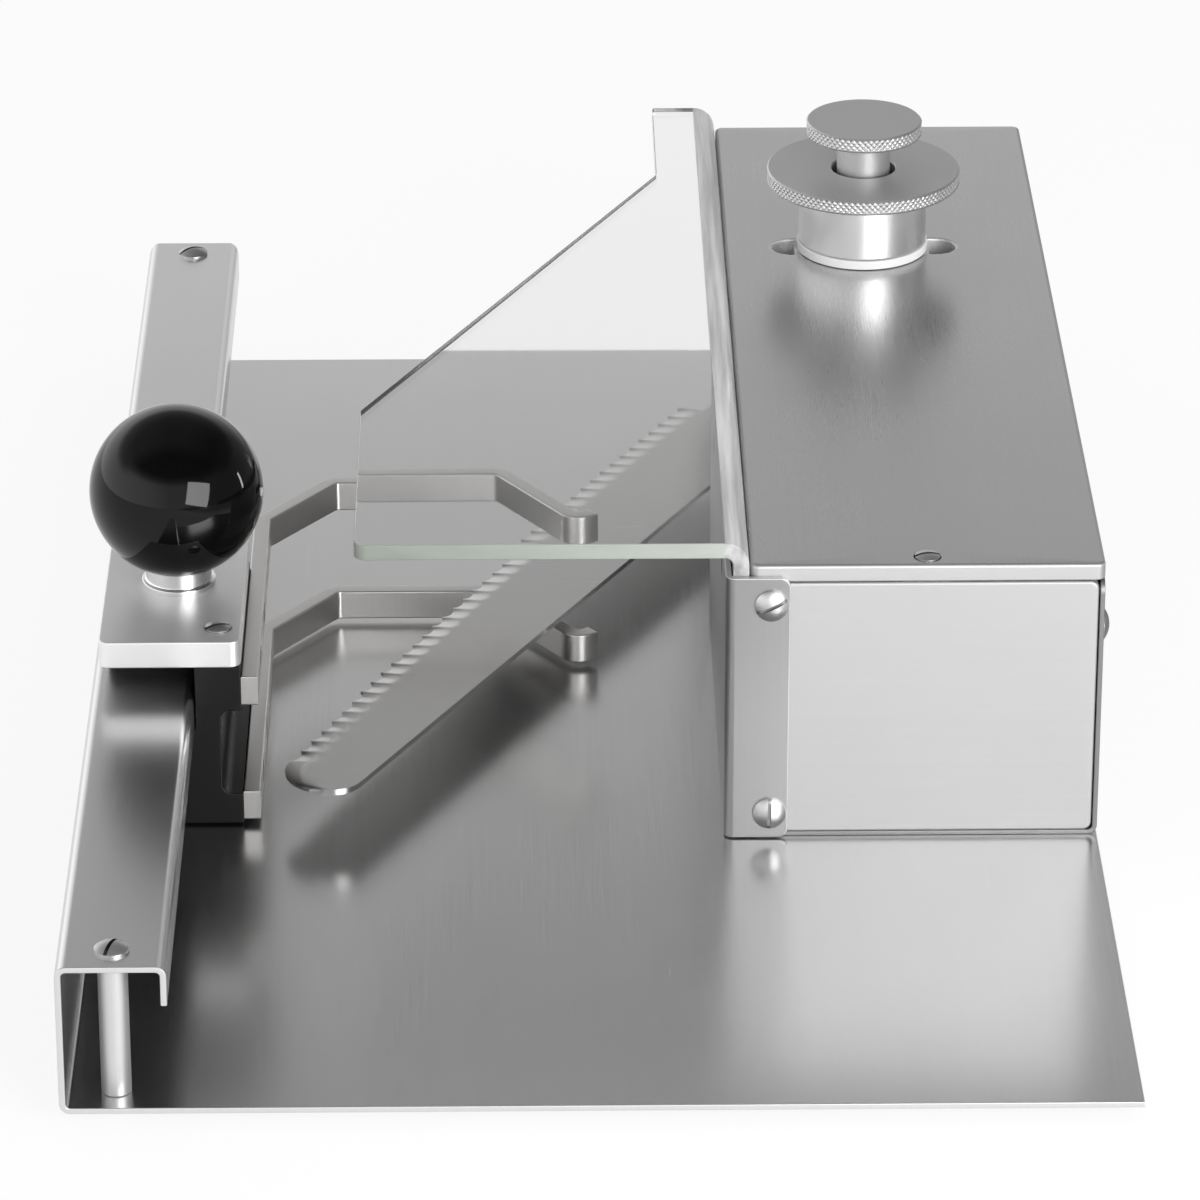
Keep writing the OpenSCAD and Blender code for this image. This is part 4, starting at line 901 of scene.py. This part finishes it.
knob_radius, stem_radius = (knob_high[0] - knob_low[0]) / 2, 7.2 * MM
knob_profile = np.concatenate([
    [[0, knob_high[2]]], rim(knob_radius, knob_high[2]),
    softened([[stem_radius, knob_high[2] - disc_thick], [stem_radius, knob_low[2]], [0, knob_low[2]]],
             [0, 0.3, 0], False)])
piece("height_wheel", *knurled(knob_profile, knob_radius, knob_high[2], knob_columns, False),
      [turned_aluminium], "height_knob")

# %% [markdown]
# ## Feet and posts
# Four rubber feet stand under the base plate, and two hollow posts keep the rail from being pressed
# together. Pieces of one kind are one piece here, as they are one node of the frame.

# %% Feet and posts
post_low, post_high = low_high("rail_posts")
rubber_radius, rubber_x, rubber_y = 8 * MM, 95 * MM, 190 * MM
rubber_profile = softened([[0, base_low[2]], [rubber_radius, base_low[2]], [rubber_radius, 0],
                           [0, 0]], [0, 0.6, 1.2, 0], False)
piece("feet", *joined([lathe(rubber_profile, (x, y), 48) for x in (-rubber_x, rubber_x)
                       for y in (-rubber_y, rubber_y)]), [foot_rubber], "rubber_feet")

post_radius, post_bore = 3.5 * MM, 2.15 * MM
post_profile = tube(post_bore, post_radius, post_low[2], post_high[2], 0.4)
# The posts get the cut edges' steel, painted pale as lit.
piece("posts", *joined([
    lathe(post_profile, (post_low[0] + post_radius, y), 64, True)
    for y in (post_low[1] + post_radius, post_high[1] - post_radius)]), [lit_cut_steel], "rail_posts")

# %% [markdown]
# ## Screw heads
# A domed head is a cap of a ball with a slot milled through it. Its grid has stations across the
# slot; at each one a chord of the disc runs along the slot. Inside the slot the chord lies on the
# slot's floor instead of the dome, and the double stations at its sides make its walls upright.

# %% A screw head
def screw(radius, rise, cut_wide, cut_deep, under, seat, out, turn):
    """A slotted head as a closed skin: chords of a disc, lifted onto a dome or the slot's floor."""
    half = cut_wide / 2
    side = radius * np.cos(np.linspace(pi, pi / 2, 12))
    side = side[side < -half - 0.02 * MM]
    stations = np.concatenate([side, [-half, -half, 0, half, half], -side[::-1]])
    deep = np.zeros(len(stations))
    deep[len(side) + 1:len(side) + 4] = 1
    chord = np.sqrt(np.maximum(radius ** 2 - stations ** 2, 0))
    along = np.cos(np.linspace(pi, 0, 17))[None] * chord[:, None]
    across = np.broadcast_to(stations[:, None], along.shape)
    crown = rise * 0.7
    sphere = (radius ** 2 + crown ** 2) / (2 * crown)
    dome = np.sqrt(sphere ** 2 - across ** 2 - along ** 2) - sphere + rise
    high = np.where(deep[:, None] > 0, np.minimum(dome, rise - cut_deep), dome)
    upper = np.stack([across, along, high], 2)
    lower = np.stack([across, along, np.full(across.shape, -under)], 2)[:, ::-1]
    loops = np.concatenate([upper, lower], 1)
    c, s = cos(radians(turn)), sin(radians(turn))
    points = loops.reshape(-1, 3) @ np.array([[c, s, 0], [-s, c, 0], [0, 0, 1]])
    axis = np.asarray(out, float)
    first = np.array([0.0, 0, 1]) if abs(axis[2]) < 0.5 else np.array([1.0, 0, 0])
    second = np.cross(axis, first)
    faces = grid_faces(len(stations), loops.shape[1]).reshape(-1, loops.shape[1], 4)
    in_slot = np.zeros(faces.shape[:2], bool)
    in_slot[len(side):len(side) + 4, :along.shape[1] - 1] = True
    return points @ np.stack([first, second, axis]) + seat, [faces[~in_slot], faces[in_slot]]


points, faces = screw(4 * MM, 2 * MM, MM, MM, 0, (0, 0, 0), (0, 0, 1), 0)
print("a screw head has", len(faces[0]), "faces, and", len(faces[1]), "in its slot")

# %% [markdown]
# ## Where the heads sit
# The heads on the rail, the bracket and the housing's side are domed; those of the plate and the lid
# are smaller and sit in a countersunk hole. Each slot stands as it does in the photograph. Its inside
# has a material of its own, painted dark as painted shade, and less dark in the bracket's heads.

# %% Screws
cut = 0.9 * MM
domed, sunk = (4.1 * MM, 2.1 * MM, cut, cut), (3.15 * MM, MM, cut, cut)
up, ahead, side = (0, 0, 1), (0, -1, 0), (1, 0, 0)
rail_x, rail_y = (base_low[0] + lip_x) / 2, 211.5 * MM
side_x, side_ys, side_z = 124.97 * MM, [-76.8 * MM, 205.6 * MM], 59.67 * MM
bracket_x = 43.15 * MM
for name, node, skin, slot, heads in (
        ("rail_heads", "rail_screws", screw_steel, slot_shade_dark, [
            (*domed, 0, (rail_x, -rail_y, base_high[2]), up, 160),
            (*domed, 0, (rail_x, rail_y, base_high[2]), up, 115)]),
        ("plate_heads", "slide_plate_screws", screw_steel, slot_shade_dark, [
            (*sunk, 2 * MM, (plate_screw_x, y, plate_high[2]), up, 110) for y in plate_screw_ys]),
        ("lid_heads", "lid_screws", screw_steel, slot_shade_dark, [
            (*sunk, MM, (lid_screw_x, y, lid_high[2]), up, 98) for y in lid_screw_ys]),
        # The heads on the housing's right side are painted dark, painted shade.
        ("side_heads", "side_screws", shaded_steel, slot_shade_dark, [
            (*domed, 0, (side_x, y, side_z), side, 60) for y in side_ys]),
        ("bracket_heads", "bracket_screws", screw_steel, slot_shade_pale, [
            (*domed, 0, (bracket_x, bracket_low[1], 12.78 * MM), ahead, 88),
            (*domed, 0, (bracket_x, bracket_low[1], 69.7 * MM), ahead, 25)])):
    points, faces = joined([screw(*head) for head in heads])
    # The slot faces get the slot's painted shade.
    in_slots = np.repeat(np.arange(len(faces)) % 2, [len(group) for group in faces])
    piece(name, points, faces, [skin, slot], node, in_slots)

# %% [markdown]
# ## The knife
# The blade's back is straight, and its cutting side widens towards the heel. Its teeth are shallow
# arcs. So the blade is told by two limits, the back and the edge, at stations along it; both corners
# of the tip are round, because near the tip the two limits close in on each other along arcs.

# %% The knife's outline
knife_low, knife_high = low_high("knife")
blade_turn = radians(27.8)
blade_foot = np.array([38.0, 102.3]) * MM
reach, heel_in, tang_end = 214.74 * MM, 34.8 * MM, 91.1 * MM
tip_wide, heel_wide, pitch, tooth, bevel_wide = 22 * MM, 32 * MM, 6.1 * MM, 1.3 * MM, 5.2 * MM
tip_round, back_round, tang_from, tang_to = 12 * MM, 8 * MM, 2 * MM, 24 * MM
edge_long = heel_in + reach - tip_round * 4 / 5    # the teeth end before the tip's round corner
tooth_radius = ((pitch / 2) ** 2 + tooth ** 2) / (2 * tooth)
teeth, per_tooth = int(edge_long / pitch), 12
flat_grind, arc_grind = 0.465, 0.217    # shares of the blade's thickness


def corner_cut(from_tip, radius):
    """How far a round corner of the tip steps in, at distances from the tip."""
    return radius - np.sqrt(np.maximum(radius ** 2 - np.maximum(radius - from_tip, 0) ** 2, 0))


def blade_limits(s):
    """Back and edge of the blade at stations s along it, and how deep in a tooth's arc each is."""
    number = np.floor((heel_in - s) / pitch)
    middle = heel_in - (number + 0.5) * pitch
    toothed = (number >= 0) & (number < teeth)
    wide = heel_wide - (heel_wide - tip_wide) * ((heel_in - middle) / edge_long) ** 2
    sag = np.sqrt(np.maximum(tooth_radius ** 2 - (s - middle) ** 2, 0)) - tooth_radius + tooth
    edge = np.where(toothed, wide - sag, tip_wide)
    from_tip = s + reach
    round_edge_limit = np.minimum(edge, tip_wide - corner_cut(from_tip, tip_round))
    edge = np.where(from_tip < tip_round, round_edge_limit, edge)
    return corner_cut(from_tip, back_round), edge, np.where(toothed, sag / tooth, 0)


print("the blade has", teeth, "teeth")

# %% [markdown]
# ## The blade's surface
# The grid has a row at each station, across from the back to the edge and back again below. The teeth
# were ground in from above with a bevel, which is hollow at each arc. The tang, which goes into the
# holder, is narrower: two rows in one place make the step.

# %% Knife
tooth_stations = heel_in - np.arange(teeth * per_tooth + 1)[::-1] * pitch / per_tooth
tip_stations = -reach + tip_round * (1 - np.cos(np.linspace(0, pi / 2, 14)))
tip_stations = tip_stations[tip_stations < tooth_stations[0] - 0.2 * MM]
stations = np.concatenate([tip_stations, tooth_stations])
back, edge, hollow = blade_limits(stations)
# Three more stations: the heel's end twice, so that the step to the narrower tang is sharp
heel_end = heel_in + 0.3 * MM
stations = np.concatenate([stations, [heel_end, heel_end, tang_end]])
back = np.concatenate([back, [0, tang_from, tang_from]])
edge = np.concatenate([edge, [heel_wide, tang_to, tang_to]])
hollow = np.concatenate([hollow, np.zeros(3)])
in_tang = np.arange(len(stations)) >= len(stations) - 2
share = np.concatenate([[0, 0.01], np.linspace(0.05, 0.72, 5), np.linspace(0.78, 1, 9)])
q = back[:, None] + (edge - back)[:, None] * share
into = np.clip((q - edge[:, None] + bevel_wide) / bevel_wide, 0, 1) * ~in_tang[:, None]
ground = into * (flat_grind + arc_grind * hollow[:, None] * into) * (knife_high[2] - knife_low[2])
along = np.broadcast_to(stations[:, None], q.shape)
upper = np.stack([-q, along, knife_high[2] - ground], 2)
lower = np.stack([-q, along, np.full(q.shape, knife_low[2])], 2)
loops = np.concatenate([upper, lower[:, ::-1]], 1)
rows, columns = loops.shape[:2]
half = columns // 2
c, s = cos(blade_turn), sin(blade_turn)
points = loops.reshape(-1, 3) @ np.array([[c, -s, 0], [s, c, 0], [0, 0, 1]]) + [*blade_foot, 0]
j = np.arange(half - 1)
cap = np.stack([j, j + 1, columns - 2 - j, columns - 1 - j], 1)
piece("blade", points, [grid_faces(rows, columns), cap, cap[:, ::-1] + (rows - 1) * columns],
      [blade_steel], "knife")

# %% [markdown]
# ## What stays as it was packed
# The parts inside the housing, and the small screws and nuts under it, keep their solids. They still
# get real finishes, by the slot that the record gives each one.

# %% Finishes of the solids
finishes = {
    "stainless_sheet": bed_steel, "housing_sheet": wall_steel, "panel_sheet": front_steel,
    "lid_sheet": lid_steel, "satin_aluminium": satin_aluminium, "knurled_aluminium": turned_aluminium,
    "polished_steel": polished_steel, "cradle_steel": bar_steel, "blade_steel": blade_steel,
    "black_phenolic": ball_plastic, "black_nylon": block_plastic, "white_plastic": washer_plastic,
    "clear_acrylic": acrylic, "rubber": foot_rubber, "brass": brass,
}
for name, solid in frame["nodes"].items():
    for material_slot in solid.material_slots:
        material_slot.material = finishes[slot_of[name]]
    if not solid.material_slots:
        solid.data.materials.append(finishes[slot_of[name]])
print("finishes set on", len(frame["nodes"]), "solids")

# %% [markdown]
# ## The floor
# The photograph is a catalogue picture, on a white table without an end. Seen straight, or through the
# guard, the floor is nearly plain white but keeps its shadow. Metal mirrors it white too, and dimmer
# to the right of the cutter, as the tones of the real sheets show.

# %% Floor
def background(name, lift):
    """A floor that keeps its shadow, lifted towards white where it is looked at, and dimmer to the
    right of the cutter where metal mirrors it."""
    material = paint(name, lambda wire, place: {}, **{
        "Base Color": grey(0.93), "Roughness": 0.7, "Specular IOR Level": 0.1})
    tree = material.node_tree
    wire = Wire(tree)
    mirrored = ray(wire, "Is Glossy Ray")
    dim = rising(axis_of(wire.node("ShaderNodeTexCoord", out="Object"), 0), 0.13, 0.3, 0.7)
    glow = wire.node("ShaderNodeEmission", {}, {"Strength": 1 - mirrored * dim})
    seen = (ray(wire, "Is Camera Ray") + ray(wire, "Is Transmission Ray") + mirrored) * lift
    shaded = Wire(tree, next(n for n in tree.nodes if n.type == "BSDF_PRINCIPLED").outputs[0])
    mixed = wire.node("ShaderNodeMixShader", {}, {0: seen, 1: shaded, 2: glow})
    output = next(n for n in tree.nodes if n.type == "OUTPUT_MATERIAL")
    tree.links.new(mixed.socket, output.inputs["Surface"])
    return material


far = 4.0
floor_mesh = bpy.data.meshes.new("floor")
floor_mesh.from_pydata([(-far, -far, 0), (far, -far, 0), (far, far, 0), (-far, far, 0)], [],
                       [(0, 1, 2, 3)])
floor_mesh.materials.append(background("floor_white", 0.85))
floor = bpy.data.objects.new("floor", floor_mesh)
bpy.context.scene.collection.objects.link(floor)
floor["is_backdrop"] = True
print("floor:", 2 * far, "m wide")

# %% [markdown]
# ## The room
# What shapes the metal is the room that it mirrors: bright near the table, dark overhead, and dimmer
# to the right. So the world gives mirrored rays ramps of brightness over the directions: one for the
# room's back, one for its front, and one from left to right that scales both. Light on matt surfaces
# is even, and seen straight the room is white.

# %% Room
def clamped(value, low, high):
    """A value held between two limits."""
    return value.node("ShaderNodeClamp", {}, {"Value": value, "Min": low, "Max": high})


def ramp(value, stops):
    """A brightness that follows a value from stop to stop."""
    return value.node("ShaderNodeValToRGB", {"stops": stops}, {0: value})


world = bpy.data.worlds.new("room")
bpy.context.scene.world = world
world.use_nodes = True
sky = Wire(world.node_tree)
toward = sky.node("ShaderNodeTexCoord", out="Generated")
x, y, z = (axis_of(toward, k) for k in range(3))
height = z.math("ABSOLUTE", z)
back = ramp(height, [(0, 1), (0.36, 0.93), (0.44, 0.5), (0.5, 0.32), (0.7, 0.2), (1, 0.22)])
front = ramp(height, [(0, 1), (0.3, 1), (0.46, 0.95), (0.56, 0.3), (0.65, 0.06), (1, 0.04)])
is_front = clamped(y * -3.0, 0.0, 1.0)
sideways = ramp(x * 0.5 + 0.5, [
    (0, 1), (0.25, 0.75), (0.45, 0.5), (0.6, 0.5), (0.8, 0.17), (1, 0.12)]) * 2.0
mirrored = (back + (front - back) * is_front) * sideways
glossy = clamped(ray(sky, "Glossy Depth"), 0.0, 1.0)
plain = (ray(sky, "Is Camera Ray") + ray(sky, "Is Transmission Ray")) * (1 - glossy)
even_light = 0.75
room = (mirrored - even_light) * glossy + even_light
level = (1 - room) * plain + room
shade = next(n for n in world.node_tree.nodes if n.type == "BACKGROUND")
shade.inputs["Color"].default_value = (1, 1, 1, 1)
world.node_tree.links.new(level.socket, shade.inputs["Strength"])
print("room:", len(world.node_tree.nodes), "nodes")

# %% [markdown]
# ## The lamps
# The ball shows the studio's lamps as they were: one square window of light at the right front, turned
# a little, and a thin strip at the right. Both look at the ball, so their mirror images fall where the
# photograph has them.

# %% Lamps
lamp_far = 1.2
for name, way, size, power, roll in (
        ("front_box", (0.52, -0.81, 0.253), (0.64, 0.64), 11.5, radians(-18)),
        ("side_strip", (0.975, 0.195, 0.08), (0.06, 0.3), 0.75, 0)):
    data = bpy.data.lights.new(name, "AREA")
    data.shape, data.size, data.size_y, data.energy = "RECTANGLE", *size, power
    lamp = bpy.data.objects.new(name, data)
    lamp.location = Vector(ball_middle) + Vector(way).normalized() * lamp_far
    aim = (Vector(ball_middle) - lamp.location).to_track_quat("-Z", "Y").to_matrix()
    lamp.rotation_euler = (aim @ Euler((0, 0, roll)).to_matrix()).to_euler()
    bpy.context.scene.collection.objects.link(lamp)
print("lamps:", [light.name for light in bpy.data.lights])

# %% [markdown]
# ## The sizes, and the end
# The new surfaces have to stay inside the box of the solids that they stand for, so both boxes are
# written down side by side before the frame is finished.

# %% Sizes
visual_box = [list(corner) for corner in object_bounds()]
for title, box in (("solids", cad_box), ("visual", visual_box)):
    print(title, "box in mm:", (np.array(box) / MM).round(2).tolist())
